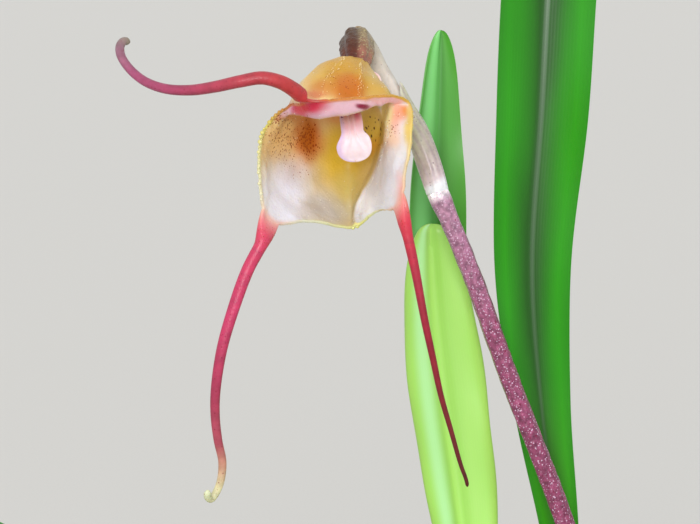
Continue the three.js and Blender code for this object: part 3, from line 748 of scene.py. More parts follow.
@dataclass
class Pot:
    """The clay pot, thrown with a plain collar, four drain holes in its floor."""

    height: float = 80.0
    base_radius: float = 34.0
    shoulder_radius: float = 43.0
    collar_radius: float = 47.5
    collar_height: float = 20.0
    wall: float = 4.2
    floor: float = 6.0
    drains: int = 4
    drain_radius: float = 4.0
    drain_circle: float = 18.0
    edge: float = 1.2
    sides: int = 144

    def inner_radius(self, height: Array | float) -> Array | float:
        """Radius of the inner wall at a height."""
        low, high = self.floor + 3, self.height - self.edge
        rise = (height - low) / (high - low)
        return lerp(self.base_radius - self.wall + 1, self.collar_radius - self.wall - self.edge, rise)

    def build(self) -> Piece:
        """Models the pot out of one cylinder.

        Returns:
            The pot.
        """
        shoulder = self.height - self.collar_height
        piece = primitive(
            "cylinder", "thrown_pot", vertices=self.sides, radius=self.base_radius * MM,
            depth=(shoulder - 2) * MM, location=(0, 0, (shoulder - 2) / 2 * MM))
        with editing(piece):
            self.select_top(piece)
            self.widen_to(self.shoulder_radius, self.base_radius)
            self.raise_to(2, self.collar_radius, self.shoulder_radius)
            self.raise_to(self.collar_height, self.collar_radius, self.collar_radius)
            bpy.ops.mesh.inset(thickness=self.wall * MM)
            mouth = self.collar_radius - self.wall
            self.raise_to(-self.edge, self.inner_radius(self.height - self.edge), mouth)
            low = self.floor + 3
            self.raise_to(low - self.height + self.edge, self.inner_radius(low), mouth - self.edge)
            self.raise_to(-3, self.inner_radius(low) - 3, self.inner_radius(low))
        self.soften(piece)
        self.pierce(piece)
        self.throw_rings(piece)
        shade_smooth(piece, 40)
        return piece

    @staticmethod
    def select_top(piece: Piece) -> None:
        """Selects the face that closes the top of the mesh being edited.

        Args:
            piece: The pot so far.
        """
        bpy.ops.mesh.select_mode(type="FACE")
        bpy.ops.object.mode_set(mode="OBJECT")
        top = max(corner.co.z for corner in piece.data.vertices)
        for face in piece.data.polygons:
            face.select = face.normal.z > 0.9 and abs(face.center.z - top) < MM / 10
        bpy.ops.object.mode_set(mode="EDIT")

    @staticmethod
    def widen_to(radius: float, from_radius: float) -> None:
        """Scales what is selected about the pot's axis, from one radius to another."""
        ratio = radius / from_radius
        bpy.ops.transform.resize(value=(ratio, ratio, 1), center_override=(0, 0, 0))

    @staticmethod
    def raise_to(rise: float, radius: float, from_radius: float) -> None:
        """Extrudes what is selected upwards and brings it to another radius."""
        bpy.ops.mesh.extrude_region_move(TRANSFORM_OT_translate={"value": (0, 0, rise * MM)})
        Pot.widen_to(radius, from_radius)

    def soften(self, piece: Piece) -> None:
        """Rounds the foot, the collar and the lip.

        Args:
            piece: The pot so far.
        """
        shoulder = self.height - self.collar_height
        rings = [
            (self.base_radius, 0), (self.collar_radius, shoulder),
            (self.collar_radius, self.height), (self.collar_radius - self.wall, self.height),
        ]
        with editing(piece):
            bpy.ops.mesh.select_mode(type="EDGE")
            bpy.ops.object.mode_set(mode="OBJECT")
            places = corners(piece) / MM
            radii, heights = np.hypot(places[:, 0], places[:, 1]), places[:, 2]
            for edge in piece.data.edges:
                a, b = edge.vertices
                edge.select = any(
                    max(abs(radii[a] - r), abs(radii[b] - r), abs(heights[a] - z), abs(heights[b] - z)) < 0.05
                    for r, z in rings
                )
            bpy.ops.object.mode_set(mode="EDIT")
            bpy.ops.mesh.bevel(offset=self.edge * MM, segments=5, profile=0.5)

    def pierce(self, piece: Piece) -> None:
        """Cuts the drain holes.

        Args:
            piece: The pot so far.
        """
        cutters = []
        for i in range(self.drains):
            angle = 2 * math.pi * (i + 0.5) / self.drains
            place = self.drain_circle * MM * Vector((math.cos(angle), math.sin(angle), 0))
            cutters.append(primitive(
                "cylinder", "drain_cutter", vertices=40, radius=self.drain_radius * MM,
                depth=4 * self.floor * MM, location=place))
        cutter = joined("drain_cutter", cutters)
        apply_modifier(piece, "BOOLEAN", object=cutter, operation="DIFFERENCE", solver="EXACT")
        bpy.data.objects.remove(cutter)

    def throw_rings(self, piece: Piece) -> None:
        """Cuts the wall into bands and gives it the slight unevenness of a thrown pot.

        Args:
            piece: The pot so far.
        """
        with editing(piece):
            for height in np.arange(3, self.height - self.collar_height - 2, 3.0):
                bpy.ops.mesh.select_all(action="SELECT")
                bpy.ops.mesh.bisect(plane_co=(0, 0, height * MM), plane_no=UP)
        places = corners(piece)
        height = places[:, 2] / MM
        on_wall = np.hypot(places[:, 0], places[:, 1]) / MM > lerp(
            self.base_radius, self.shoulder_radius, height / (self.height - self.collar_height)) - 1.5
        ripple = 0.05 * np.sin(height * 1.15) * ease(height, 2, 8) * ease(-height, -57, -52)
        places[:, :2] *= (1 - np.where(on_wall, 0.0012 + 0.012 * np.abs(ripple), 0))[:, None]
        move_corners(piece, places)

    def dress(self, piece: Piece) -> None:
        """Gives the pot its clay."""
        settle(piece, FiredClay().make(), Slot.CLAY, "pot")


@dataclass
class GrowingMedium:
    """Bark chips with living moss, domed a little above the collar's inside."""

    pot: Pot
    feet: Points  # where stems come out of it
    edge_level: float = 71.0
    crown_level: float = 76.0
    bottom: float = 6.3
    chips: int = 190
    strands: int = 260
    heads: int = 620
    seed: int = 11

    def level(self, x: Array, y: Array) -> Array:
        """Height of the lumpy top, as the solid has it.

        Args:
            x: Places to the right of the pot's axis.
            y: Places behind it.

        Returns:
            Their heights.
        """
        away = np.hypot(x, y) / self.pot.inner_radius(self.edge_level)
        dome = lerp(self.crown_level, self.edge_level, ease(away))
        lumps = np.sin(0.42 * x + 1.3) * np.cos(0.5 * y) + 0.6 * np.sin(0.93 * x - 0.71 * y)
        return dome + 0.8 * lumps * (1 - 0.4 * away)

    def build(self) -> Piece:
        """Lays the body of the medium, from its bottom up the wall and over its top.

        Returns:
            The body.
        """
        rim = self.pot.inner_radius(self.edge_level - 2) - 0.6
        foot = self.pot.inner_radius(self.pot.floor + 3) - 0.6
        steps = [0, 0.12, 0.16, 0.34, 1.0]
        radii = [0.0, foot - 3, foot, rim, 0.0]
        heights = [self.bottom, self.bottom, self.bottom + 3.2, self.edge_level - 1.6, self.crown_level]

        def surface(across: Array, along: Array) -> Array:
            """The medium's skin for shares round it and up over it."""
            angle = 2 * np.pi * across
            radius = np.interp(along, steps, radii)
            x, y = radius * np.cos(angle), radius * np.sin(angle)
            places = np.column_stack([x, y, np.interp(along, steps, heights)])
            top = ease(along, steps[3], steps[3] + 0.04)
            rough = 0.55 * wobble(places * [1, 1, 0], 2.2) + 0.3 * wobble(places * [1, 1, 0], 0.9, 4)
            places[:, 2] = lerp(places[:, 2], self.level(x, y) - 0.5 + rough, top)
            return places

        return laid_grid("medium_bed", 200, 96, surface)

    def chip(self) -> Piece:
        """Models one split bark chip, a flat block with broken edges.

        Returns:
            The chip.
        """
        piece = primitive("cube", "bark_chip", size=1)
        piece.scale = (9.5 * MM, 5.6 * MM, 2.6 * MM)
        bpy.ops.object.transform_apply(scale=True)
        with editing(piece):
            bpy.ops.mesh.select_all(action="SELECT")
            bpy.ops.mesh.subdivide(number_cuts=2)
            bpy.ops.transform.vertex_random(offset=0.9 * MM, seed=self.seed)
            bpy.ops.mesh.bevel(offset=0.25 * MM, segments=1, affect="EDGES")
        shade_smooth(piece, 34)
        return piece

    def head(self) -> Piece:
        """Models one head of moss, a ball with its faces drawn out to leaf tips.

        Returns:
            The head.
        """
        piece = primitive("ico_sphere", "moss_head", subdivisions=1, radius=0.55 * MM)
        with editing(piece):
            bpy.ops.mesh.select_mode(type="FACE")
            bpy.ops.mesh.select_all(action="SELECT")
            bpy.ops.mesh.extrude_faces_move(TRANSFORM_OT_shrink_fatten={"value": 1.3 * MM})
        places = corners(piece)
        lengths = np.linalg.norm(places, axis=1)
        tips = lengths > 1.0 * MM
        for face in piece.data.polygons:
            ends = [v for v in face.vertices if tips[v]]
            if len(ends) == len(face.vertices):
                middle = places[ends].mean(axis=0)
                places[ends] = middle + 0.12 * (places[ends] - middle)
        move_corners(piece, places)
        return piece

    def strand(self) -> Piece:
        """Models one strand of long-fibred moss, a thin bent stem with a frayed look.

        Returns:
            The strand.
        """
        line = Spline([[-7, 0, 0], [-4, 0.9, 1.0], [-0.5, -0.6, 0.7], [3, 0.8, 1.2], [6.5, -0.4, 0]])
        sweep = Sweep(line, UP)

        def surface(across: Array, along: Array) -> Array:
            """A thin round stem that tapers to both ends."""
            thick = 0.32 * np.sqrt(np.clip(1 - (2 * along - 1) ** 2, 0.02, 1)) * (1 + 0.4 * np.sin(31 * along))
            return sweep.around(along, across, thick)

        return laid_grid("moss_strand", 3, 12, surface)

    def seats(self, count: int, reach: float, clearance: float, draw: np.random.Generator) -> Iterator[Array]:
        """Places on the medium's top, clear of the stems.

        Args:
            count: How many to give.
            reach: Largest distance from the pot's axis.
            clearance: Least distance from a stem's foot.
            draw: The seeded source of chance.

        Yields:
            Places in millimetres.
        """
        given = 0
        while given < count:
            x, y = draw.uniform(-reach, reach, 2)
            near = min(math.hypot(x - fx, y - fy) for fx, fy in self.feet)
            if math.hypot(x, y) > reach or near < clearance:
                continue
            given += 1
            yield np.array([x, y, float(self.level(np.array(x), np.array(y)))])

    def upright(self, place: Array) -> Array:
        """Direction in which the medium's top faces.

        Args:
            place: A place on it.

        Returns:
            The direction there.
        """
        x, y = place[:2]
        d = 0.6
        slope_x = float(self.level(x + d, y) - self.level(x - d, y)) / (2 * d)
        slope_y = float(self.level(x, y + d) - self.level(x, y - d)) / (2 * d)
        return unit(np.array([-slope_x, -slope_y, 1.0]))

    def litter(self) -> tuple[Piece, Piece, Piece]:
        """Scatters chips, strands and moss heads over the top.

        Returns:
            The chips, the strands and the heads, each joined in one piece.
        """
        draw = np.random.default_rng(self.seed)
        rim = self.pot.inner_radius(self.edge_level)
        made = []
        plans = (
            ("bark_chips", self.chip(), self.chips, rim - 7, 3.4, (0.6, 1.15), 0.38, -0.2),
            ("moss_strands", self.strand(), self.strands, rim - 7.5, 2.4, (0.6, 1.1), 0.3, 0.1),
            ("moss_heads", self.head(), self.heads, rim - 2.2, 2.6, (0.6, 1.25), 0.25, 0.25),
        )
        for name, model, count, reach, clearance, sizes, lean, lift in plans:
            places = []
            for seat in self.seats(count, reach, clearance, draw):
                normal = unit(self.upright(seat) + lean * draw.normal(size=3) * [1, 1, 0.3])
                size = draw.uniform(*sizes)
                places.append(lying_on(seat + lift * normal, normal, size, draw.uniform(0, 2 * math.pi)))
            made.append(joined(name, copies(model, places)))
            bpy.data.objects.remove(model)
        return tuple(made)

    def dress(self, body: Piece, litter: Sequence[Piece]) -> None:
        """Gives each kind of litter its own finish.

        Args:
            body: The medium's bed.
            litter: The chips, the strands and the moss heads.
        """
        # Bark breaks into reddish fibres, dead moss is straw coloured, living moss green and a little see-through
        damp = Litter("damp bark and moss", ((0.3, "#2f2413"), (0.5, "#54421f"), (0.68, "#6f6a2c")), 3.0, 0.5)
        bark = Litter("pine bark", ((0.32, "#3c2415"), (0.5, "#7a4f2f"), (0.7, "#a9794d")), 2.2, 0.4)
        fibre = Litter("sphagnum fibre", ((0.3, "#8b7a3c"), (0.55, "#b9ad64"), (0.75, "#9fb45a")), 4.0, 0.3, 0.5, 0.1)
        moss = Litter("living moss", ((0.3, "#3f5a1c"), (0.52, "#6b8e2a"), (0.74, "#a6bb45")), 5.0, 0.3, 0.4, 0.15)
        settle(body, damp.make(), Slot.MEDIUM, "growing_medium")
        for piece, finish in zip(litter, (bark, fibre, moss)):
            settle(piece, finish.make(), Slot.MEDIUM)


# Leafy stems


@dataclass(frozen=True)
class Shoot:
    """One stem with its one leaf: where it stands, the rib of the leaf and the leaf's outline."""

    name: str
    foot: tuple[float, float]
    rib: Points
    face: Triple
    half_width: float
    widest: float = 0.66
    blunt: float = 0.72
    fold: float = 22.0  # degrees that each half of the open blade is raised
    roll: float = 0.0  # degrees that the blade has turned at its tip

    def arm(self, share: Array) -> Array:
        """Half width of the narrow obovate blade: a stalk, a slow widening, and a blunt tip.

        Args:
            share: Shares of its length.

        Returns:
            The half width at each.
        """
        opening = ease(share, 0.08, self.widest)
        rest = np.clip((share - self.widest) / (1 - self.widest), 0, 1)
        return self.half_width * np.where(
            share <= self.widest, lerp(0.24, 1, opening), (1 - rest * rest) ** self.blunt)


def bowed_rib(
    collar: Array, azimuth: float, swing: float, lean: float, droop: float, length: float
) -> list[Array]:
    """Rib of a leaf that leans out of the tuft and bows over.

    Args:
        collar: Where it begins.
        azimuth: Its heading in degrees.
        swing: How far the heading turns on the way to the tip.
        lean: Its tilt from upright at the foot, in degrees.
        droop: Its tilt at the tip.
        length: Its length.

    Returns:
        Seven points from the collar to the tip.
    """
    steps = 6
    points = [np.array(collar, float)]
    for i in range(steps):
        tilt = math.radians(lerp(lean, droop, (i + 0.5) / steps))
        heading = math.radians(azimuth + swing * i / steps)
        step = [math.sin(tilt) * math.cos(heading), math.sin(tilt) * math.sin(heading), math.cos(tilt)]
        points.append(points[-1] + length / steps * np.array(step))
    return points


UPRIGHT_SHOOTS = (
    Shoot("tall", (9.5, 5.5), ((8, 5, 112), (6.2, 5, 135), (3.4, 5, 158), (0.9, 5.3, 175), (-0.5, 5.6, 193),
          (0.6, 6.2, 214), (1.6, 7.5, 233), (3.2, 9.5, 250), (5, 12, 264)), (0.05, -1, 0), 7, 0.76, 0.6, 27),
    Shoot("front", (-6, 2), ((-6.5, 2.8, 107), (-7.2, 3, 130), (-9.2, 3.2, 157), (-11.5, 3.4, 174),
          (-13, 3.3, 187), (-13.7, 2.6, 199)), (0.3, 1, 0), 5.5, 0.75, 0.4, 15),
    Shoot("rear", (-9, 11), ((-9.5, 11, 106), (-8.6, 11, 130), (-10.2, 10.8, 162), (-12.2, 10.5, 178),
          (-13.1, 10.3, 192), (-13, 9.9, 206), (-12.4, 9.2, 224)), (0.35, -1, 0), 4.7, 0.62, 0.48, 20),
)

# Foot, azimuth, swing, lean, droop, length, half width and roll of each outer leaf.
OUTER_SHOOTS = (
    ((-15, -1), 190, 14, 22, 84, 104, 7.6, 12),
    ((-17, 8), 166, -10, 27, 74, 90, 7, -16),
    ((-7, -9), 228, 16, 20, 88, 108, 7.6, -14),
    ((3, -10), 280, -16, 26, 72, 88, 6.6, 20),
    ((13, -9), 312, 12, 21, 82, 116, 8, 10),
    ((23, -3), 348, 12, 15, 52, 126, 7.8, -18),
    ((22, 9), 30, -14, 22, 76, 110, 7.8, 14),
    ((11, 16), 58, 18, 30, 86, 92, 7.2, -12),
    ((-1, 17), 112, 12, 32, 98, 90, 7, 16),
)


@dataclass
class Tuft:
    """The rhizome, its stems with their sheaths, and the leaves."""

    stem_rise: float = 30.0
    crown_level: float = 76.0
    foot_level: float = 73.5
    rhizome_line: float = 4.0
    rhizome_radius: float = 2.4
    stem_radius: float = 1.3
    collar_radius: float = 1.5
    sheath_inner: float = 1.6
    sheath_outer: float = 2.25
    sheath_from: float = 0.07
    sheath_to: float = 0.6
    sheath_flare: float = 0.35
    seat: float = 0.3
    thickness: float = 0.75
    keel: float = 1.25
    petiole_fold: float = 62.0
    fold_opens: float = 0.45
    shoots: list[Shoot] = field(default_factory=list)

    def __post_init__(self) -> None:
        """Works out the outer shoots, which lean away from the middle of the tuft."""
        self.shoots = list(UPRIGHT_SHOOTS)
        for i, (foot, azimuth, swing, lean, droop, length, half_width, roll) in enumerate(OUTER_SHOOTS):
            heading = math.radians(azimuth)
            reach = self.stem_rise * math.tan(math.radians(0.7 * lean))
            collar = np.array([
                foot[0] + reach * math.cos(heading),
                foot[1] + reach * math.sin(heading),
                self.crown_level + self.stem_rise - (i % 3) * 3,
            ])
            rib = bowed_rib(collar, azimuth, swing, lean, droop, length)
            face = (-math.cos(heading), -math.sin(heading), 1.0)
            self.shoots.append(Shoot(f"outer_{i + 1}", foot, rib, face, half_width, roll=roll))

    def stem_line(self, shoot: Shoot) -> Spline:
        """The straight run of a stem out of the moss to the collar under its leaf."""
        return Spline([[*shoot.foot, self.foot_level], shoot.rib[0]])

    def build_leaf(self, shoot: Shoot) -> Piece:
        """Lays a leaf round its rib: a channelled stalk that opens to a keeled blade with a thin waved edge.

        Args:
            shoot: The leaf's shoot.

        Returns:
            The leaf, with its traits across, along and under.
        """
        sweep = Sweep(Spline(shoot.rib), shoot.face)
        first = self.seat / sweep.path.length
        phase = 1.7 * len(shoot.name) + shoot.foot[0]

        def surface(turn: Array, along: Array) -> Array:
            """The blade's skin, over its face and back beneath it."""
            share = lerp(first, 1.0, 1 - (1 - along) ** 1.6)
            q = there_and_back(turn)
            arm = shoot.arm(share)
            fold = np.radians(lerp(self.petiole_fold, shoot.fold, ease(share, 0, self.fold_opens)))
            bend = np.sqrt(q * q + 0.0025) - 0.05
            rise = bend * arm * np.sin(fold) * (0.55 + 0.45 * np.abs(q))
            wave = 0.3 * np.sin(37 * share + phase + 1.3 * np.sign(q)) * np.abs(q) ** 3 * ease(share, 0.25, 0.5)
            groove = 0.1 * hump(q, 0, 0.05)
            side = q * arm * np.cos(fold)
            face = rise + wave - groove
            slim = ease(arm, 0, 2.2)
            body = lerp(self.thickness * 0.92, self.keel, hump(q, 0, 0.16))
            depth = body * slim * np.sqrt(np.clip(1 - np.abs(q) ** 9, 0, 1))
            beneath = turn >= 0.5
            tilt = q / np.sqrt(q * q + 0.03)
            side = side + np.where(beneath, tilt * depth * np.sin(fold), 0)
            face = face - np.where(beneath, depth * np.cos(fold), 0)
            roll = np.radians(shoot.roll) * share
            return sweep.beside(
                share, -side * np.cos(roll) - face * np.sin(roll), face * np.cos(roll) - side * np.sin(roll))

        return laid_grid(f"blade_{shoot.name}", 60, 120, surface, {
            "across": lambda turn, along: there_and_back(turn),
            "along": lambda turn, along: along,
            "under": lambda turn, along: (turn >= 0.5).astype(float),
        })

    def build_stems(self) -> Piece:
        """Builds the rhizome with every stem that rises from it, as one grown body.

        Returns:
            The body.
        """
        bends = [[-18, 1], [-9, -0.6], [1, 0.6], [12, -0.8], [23, 0.4]]
        line = Sweep(Spline([[x, self.rhizome_line + y, self.foot_level] for x, y in bends]), UP)

        def knuckled(turn: Array, along: Array) -> Array:
            """The rhizome, swollen at its joints."""
            ends = np.sqrt(np.clip(1 - (2 * along - 1) ** 16, 0, 1))
            return line.around(along, turn, (self.rhizome_radius + 0.35 * np.sin(40 * along)) * ends)

        parts = [laid_grid("rhizome", 20, 60, knuckled)]
        for shoot in self.shoots:
            sweep = Sweep(self.stem_line(shoot))

            def stem(turn: Array, along: Array, sweep: Sweep = sweep) -> Array:
                """A stem that widens to its collar, with a scar ring low on it."""
                radius = lerp(self.stem_radius, self.collar_radius, ease(along, 0.6, 1))
                ring = 0.16 * hump(along, 0.64, 0.012) + 0.1 * hump(along, 0.985, 0.01)
                ribs = 0.035 * np.cos(2 * np.pi * 9 * turn)
                return sweep.around(along, turn, radius + ring + ribs)

            parts.append(laid_grid("stem", 36, 60, stem))
            start = [shoot.foot[0] * 0.85, self.rhizome_line, self.foot_level]
            root = Sweep(Spline([start, [*shoot.foot, self.foot_level]]), UP)
            parts.append(laid_grid(
                "root_run", 12, 4, lambda turn, along, root=root: root.around(along, turn, self.stem_radius)))
        return joined("stems_and_rhizome", parts)

    def build_sheath(self, shoot: Shoot, order: int) -> Piece:
        """Builds the papery sheath of a stem, ribbed, flared and torn at its mouth.

        Args:
            shoot: The stem's shoot.
            order: Number of the shoot, which turns the mouth.

        Returns:
            The sheath.
        """
        sweep = Sweep(self.stem_line(shoot))

        def surface(turn: Array, along: Array) -> Array:
            """The sheath's skin, up its outside and back down its inside."""
            up = 1 - np.abs(2 * along - 1)
            angle = 2 * np.pi * turn
            mouth = 1 - 0.16 * (0.5 + 0.5 * np.cos(angle + order)) - 0.05 * np.sin(7 * angle + 2 * order) ** 2
            share = lerp(self.sheath_from, self.sheath_to, up * mouth)
            flare = self.sheath_flare * ease(up, 0.5, 1)
            outer = self.sheath_outer - 0.16 + flare + 0.07 * np.cos(11 * angle) + 0.05 * np.sin(3 * angle + 9 * up)
            inner = outer - lerp(0.34, 0.1, up)
            return sweep.around(share, turn, np.where(along < 0.5, outer, np.maximum(inner, self.sheath_inner)))

        return laid_grid(f"paper_{shoot.name}", 66, 48, surface)

    def dress(self, leaves: Sequence[Piece], stems: Piece, sheaths: Sequence[Piece]) -> None:
        """Gives each leaf its green, the front one painted lighter as if brightly lit, and the stems and sheaths their
        finishes.

        Args:
            leaves: The leaves, in the order of the shoots.
            stems: The stems with their rhizome.
            sheaths: The sheaths, in the same order.
        """
        # All have the satin of leaf wax. Grown ones are deep and dull; the front one is lime and half see-through,
        # painted lighter as if brightly lit
        # The mature leaf's dark rib colour is painted shade at the bottom of its channel
        deep = LeafBlade("mature leaf", "#269204", "#155202", "#4ca018", "#124a04", edge="#227812", bright=0.72)
        # The front leaf: its light lime green is partly painted light, as if brightly lit
        lime_lit = LeafBlade("young leaf", "#98d050", "#8cc840", "#a8d878", "#a2da58", 0.8, edge="#8fae16")
        # The rear leaf: a broad painted highlight band runs down one side
        cool = LeafBlade(
            "shaded leaf", "#46962a", "#2f7a16", "#7cc46a", "#3a8a1e", 0.9, 0.5, "#4f9430", "#8ad884", 0.75)
        plain = LeafBlade("grown leaf", "#4a9a2a", "#33801d", "#93c35c", "#8cc456")
        older = LeafBlade("old leaf", "#629c2e", "#457f20", "#b4c25e", "#a9c25c")
        greens = {"tall": deep.make(), "front": lime_lit.make(), "rear": cool.make()}
        rest = [plain.make(), deep.make(), older.make()]
        for i, (leaf, shoot) in enumerate(zip(leaves, self.shoots)):
            settle(leaf, greens.get(shoot.name, rest[i % 3]), Slot.LEAF, f"leaf_{shoot.name}")
        # Firm green cells under a dull skin
        stem = Litter("fleshy stem", ((0.3, "#6d7a35"), (0.5, "#7f9a43"), (0.72, "#98b254")), 4.0, 0.35, 0.3, 0.1)
        settle(stems, stem.make(), Slot.STEM, "rhizome_and_stems")
        # Dead and dry, and torn where the stem grew through it
        paper = DryFibre("papery sheath", "#c9b78d", "#7d6238").make()
        for sheath, shoot in zip(sheaths, self.shoots):
            settle(sheath, paper, Slot.SHEATH, f"sheath_{shoot.name}")


# Flower stalk


def painted(grounds: Sequence[tuple[float, str]], shares: Array) -> Array:
    """Colours that fade into each other along a piece.

    Args:
        grounds: Shares of the length with the colour there, in order.
        shares: Where to read it.

    Returns:
        Linear colours, one to a row.
    """
    places = [place for place, _ in grounds]
    colours = np.array([linear(colour) for _, colour in grounds])
    return np.column_stack([np.interp(shares, places, colours[:, k]) for k in range(3)])


@dataclass
class FlowerStalk:
    """The leaning stalk with its two small bracts, then the floral bract and the pedicel to the ovary."""

    line: Points = (
        (17, -2.5, 68), (17, -2.5, 78), (16.2, -2.5, 96), (13.6, -2.6, 118), (9.3, -2.8, 142),
        (3.65, -3, 160.2), (-3.75, -4.5, 179.5), (-9, -5, 193.9), (-13.3, -5, 204.2),
    )
    pedicel_bends: Points = (
        (9.2, 4.8, -14.8), (7.7, 5.7, -11), (5.8, 6.9, -7.4), (4, 8.4, -4.1), (2.45, 10, -1.9),
        (1.25, 10.9, 0.3), (0.35, 10.4, 1.7), (0, 9.2, 2.1),
    )
    ovary_line: Points = ((0, 8.9, 2.1), (-0.3, 6.3, 1.5), (-0.3, 3, 0.2), (-0.3, 0, -1.6))
    foot_radius: float = 1.3
    radius: float = 1.2
    node_radius: float = 1.4
    pedicel_radius: float = 0.8
    pedicel_top: float = 1.2
    # Name of each small bract, and the shares of the stalk where it starts and ends
    small_bracts: tuple[tuple[str, float, float], ...] = (("lower", 0.13, 0.21), ("upper", 0.4, 0.47))
    bract_outer: float = 1.55
    bract_cover: float = 0.5
    bract_tip: float = 0.62
    ovary_radius: float = 2.15
    ribs: int = 6

    def __post_init__(self) -> None:
        """Lays the two paths."""
        self.stalk = Sweep(Spline(self.line))
        bends = np.array(self.pedicel_bends) + FLOWER
        self.pedicel = Sweep(Spline([self.line[-1], *bends]))
        self.ovary = Sweep(from_flower(self.ovary_line), UP)

    def build_stalk(self) -> Piece:
        """Builds the stalk, faintly ribbed, swollen in a node at its top that a painted highlight makes whitish.

        Returns:
            The stalk.
        """

        def surface(turn: Array, along: Array) -> Array:
            """The stalk's skin."""
            share = along
            radius = lerp(self.foot_radius, self.radius, share)
            node = (self.node_radius - self.radius) * ease(share, 0.97, 0.99)
            knees = sum(0.22 * hump(share, start, 0.006) for _, start, _ in self.small_bracts)
            places = self.stalk.around(share, turn, radius + node + knees)
            rough = 0.05 * np.cos(2 * np.pi * 7 * turn + 9 * share) + 0.07 * wobble(places, 1.1)
            end = ease(1.0 - share, 0.0, 0.002)
            return self.stalk.around(share, turn, (radius + node + knees + rough) * lerp(0.9, 1, end))

        def colour(turn: Array, along: Array) -> Array:
            """Green below, purple-pink above, whitish at the node with a painted highlight."""
            return painted((
                (0.0, "#7f9a4a"), (0.12, "#8c8a55"), (0.3, "#7a3e4c"), (0.6, "#803858"), (0.86, "#8a4665"),
                (0.95, "#9a6883"), (0.989, "#a87d95"), (0.996, "#ece2e8"), (1.0, "#f2eeee"),
            ), along)

        # The dots are the papillae's whitish glints, painted on; the flecks are dark blotches
        return laid_grid("leaning_stalk", 40, 420, surface, {
            "paint": colour, "dots": lambda turn, along: 0.55 * ease(along, 0.1, 0.3),
            "flecks": lambda turn, along: 0.3 * ease(along, 0.1, 0.3) * ease(along, 0.99, 0.97),
        })

    def build_bract(self, name: str, start: float, end: float) -> Piece:
        """Builds a small papery bract that clasps the stalk, pointed on one side.

        Args:
            name: Its name.
            start: Share of the stalk at which it is attached.
            end: Share that its tip reaches.

        Returns:
            The bract.
        """

        def surface(turn: Array, along: Array) -> Array:
            """The bract's skin, up its outside and down its inside."""
            up = 1 - np.abs(2 * along - 1)
            angle = 2 * np.pi * turn
            mouth = 1 - 0.42 * (0.5 + 0.5 * np.cos(angle)) ** 1.5
            inner = self.foot_radius + 0.06 + 0.35 * ease(up, 0.5, 1)
            outer = inner + lerp(0.32, 0.12, up) + 0.05 * np.cos(9 * angle)
            return self.stalk.around(lerp(start, end, up * mouth), turn, np.where(along < 0.5, outer, inner))

        return laid_grid(name, 54, 44, surface)

    def build_floral_bract(self) -> Piece:
        """Builds the thin pale bract that wraps the foot of the pedicel, its tip drawn out behind.

        Returns:
            The bract.
        """

        def surface(turn: Array, along: Array) -> Array:
            """The bract's skin, up its outside and down its inside."""
            up = 1 - np.abs(2 * along - 1)
            angle = 2 * np.pi * turn
            mouth = 1 - 0.4 * np.abs(np.sin(angle / 2 + 0.1)) ** 2.4
            belly = 0.14 * np.sin(np.pi * np.clip(up, 0, 1)) - 0.3 * ease(up, 0.55, 1)
            free = 0.25 * ease(up * mouth, 0.7, 1) * (0.5 + 0.5 * np.cos(angle)) ** 2
            crease = 0.035 * np.cos(11 * angle + 3 * up) + 0.05 * np.sin(3 * angle - 7 * up)
            outer = self.bract_outer - 0.1 + belly + free + crease * ease(up, 0.02, 0.1)
            inner = outer - lerp(0.3, 0.12, up)
            share = lerp(-0.012, self.bract_tip, up * mouth)
            return self.pedicel.around(share, turn, np.where(along < 0.5, outer, inner))

        def veins(turn: Array, along: Array) -> Array:
            """Whitish foot with a painted highlight, then grey-lilac veins on a pale olive skin, and a pale rim."""
            up = 1 - np.abs(2 * along - 1)
            skin = painted(((0, "#f4f0f0"), (0.07, "#efe8ea"), (0.13, "#c9b4b6"), (0.35, "#c0aea6"), (0.65, "#bab49c"),
                            (0.95, "#c4bda0"), (1.0, "#e2dcc4")), up)
            vein = (0.5 + 0.5 * np.cos(2 * np.pi * 11 * turn + 2 * np.sin(6 * up))) ** 2 * ease(up, 0.1, 0.2)
            return lerp(skin, linear("#a58d98"), 0.5 * vein[:, None])

        return laid_grid("thin_bract", 88, 90, surface, {
            "paint": veins, "dots": steady(0.28),
        })

    def build_pedicel(self) -> Piece:
        """Builds the pedicel, which swells into the ovary.

        Returns:
            The pedicel.
        """

        def surface(turn: Array, along: Array) -> Array:
            """The pedicel's skin."""
            swell = ease(along, self.bract_cover, self.bract_cover + 0.35)
            radius = lerp(self.pedicel_radius, self.pedicel_top, swell) + 0.03 * np.cos(12 * np.pi * turn)
            return self.pedicel.around(lerp(0.0, 1.02, along), turn, radius)

        return laid_grid("pedicel_stem", 36, 140, surface, {
            "paint": lambda turn, along: painted(
                ((0, "#c8beb4"), (0.6, "#cdc5be"), (0.85, "#c2b8a8"), (1.0, "#857050")), along),
            "dots": lambda turn, along: 0.25 * ease(along, 0.5, 0.8),
        })

    def build_ovary(self) -> Piece:
        """Builds the ovary: six ribs set with warts, drawn in at the cup's neck.

        Returns:
            The ovary.
        """

        def surface(turn: Array, along: Array) -> Array:
            """The ovary's skin."""
            share = lerp(0.0, 1.03, along)
            swell = lerp(self.pedicel_top, self.ovary_radius, ease(share, 0, 0.34))
            radius = swell * lerp(1, 0.74, ease(share, 0.6, 1))
            rib = 0.5 + 0.5 * np.cos(2 * np.pi * self.ribs * turn)
            radius = radius * (0.86 + 0.14 * rib ** 0.7)
            places = self.ovary.around(share, turn, radius)
            warts = np.clip(wobble(places, 0.5), 0, 1) ** 1.5 * (0.25 + 0.75 * rib)
            return self.ovary.around(share, turn, radius + 0.2 * warts + 0.04)

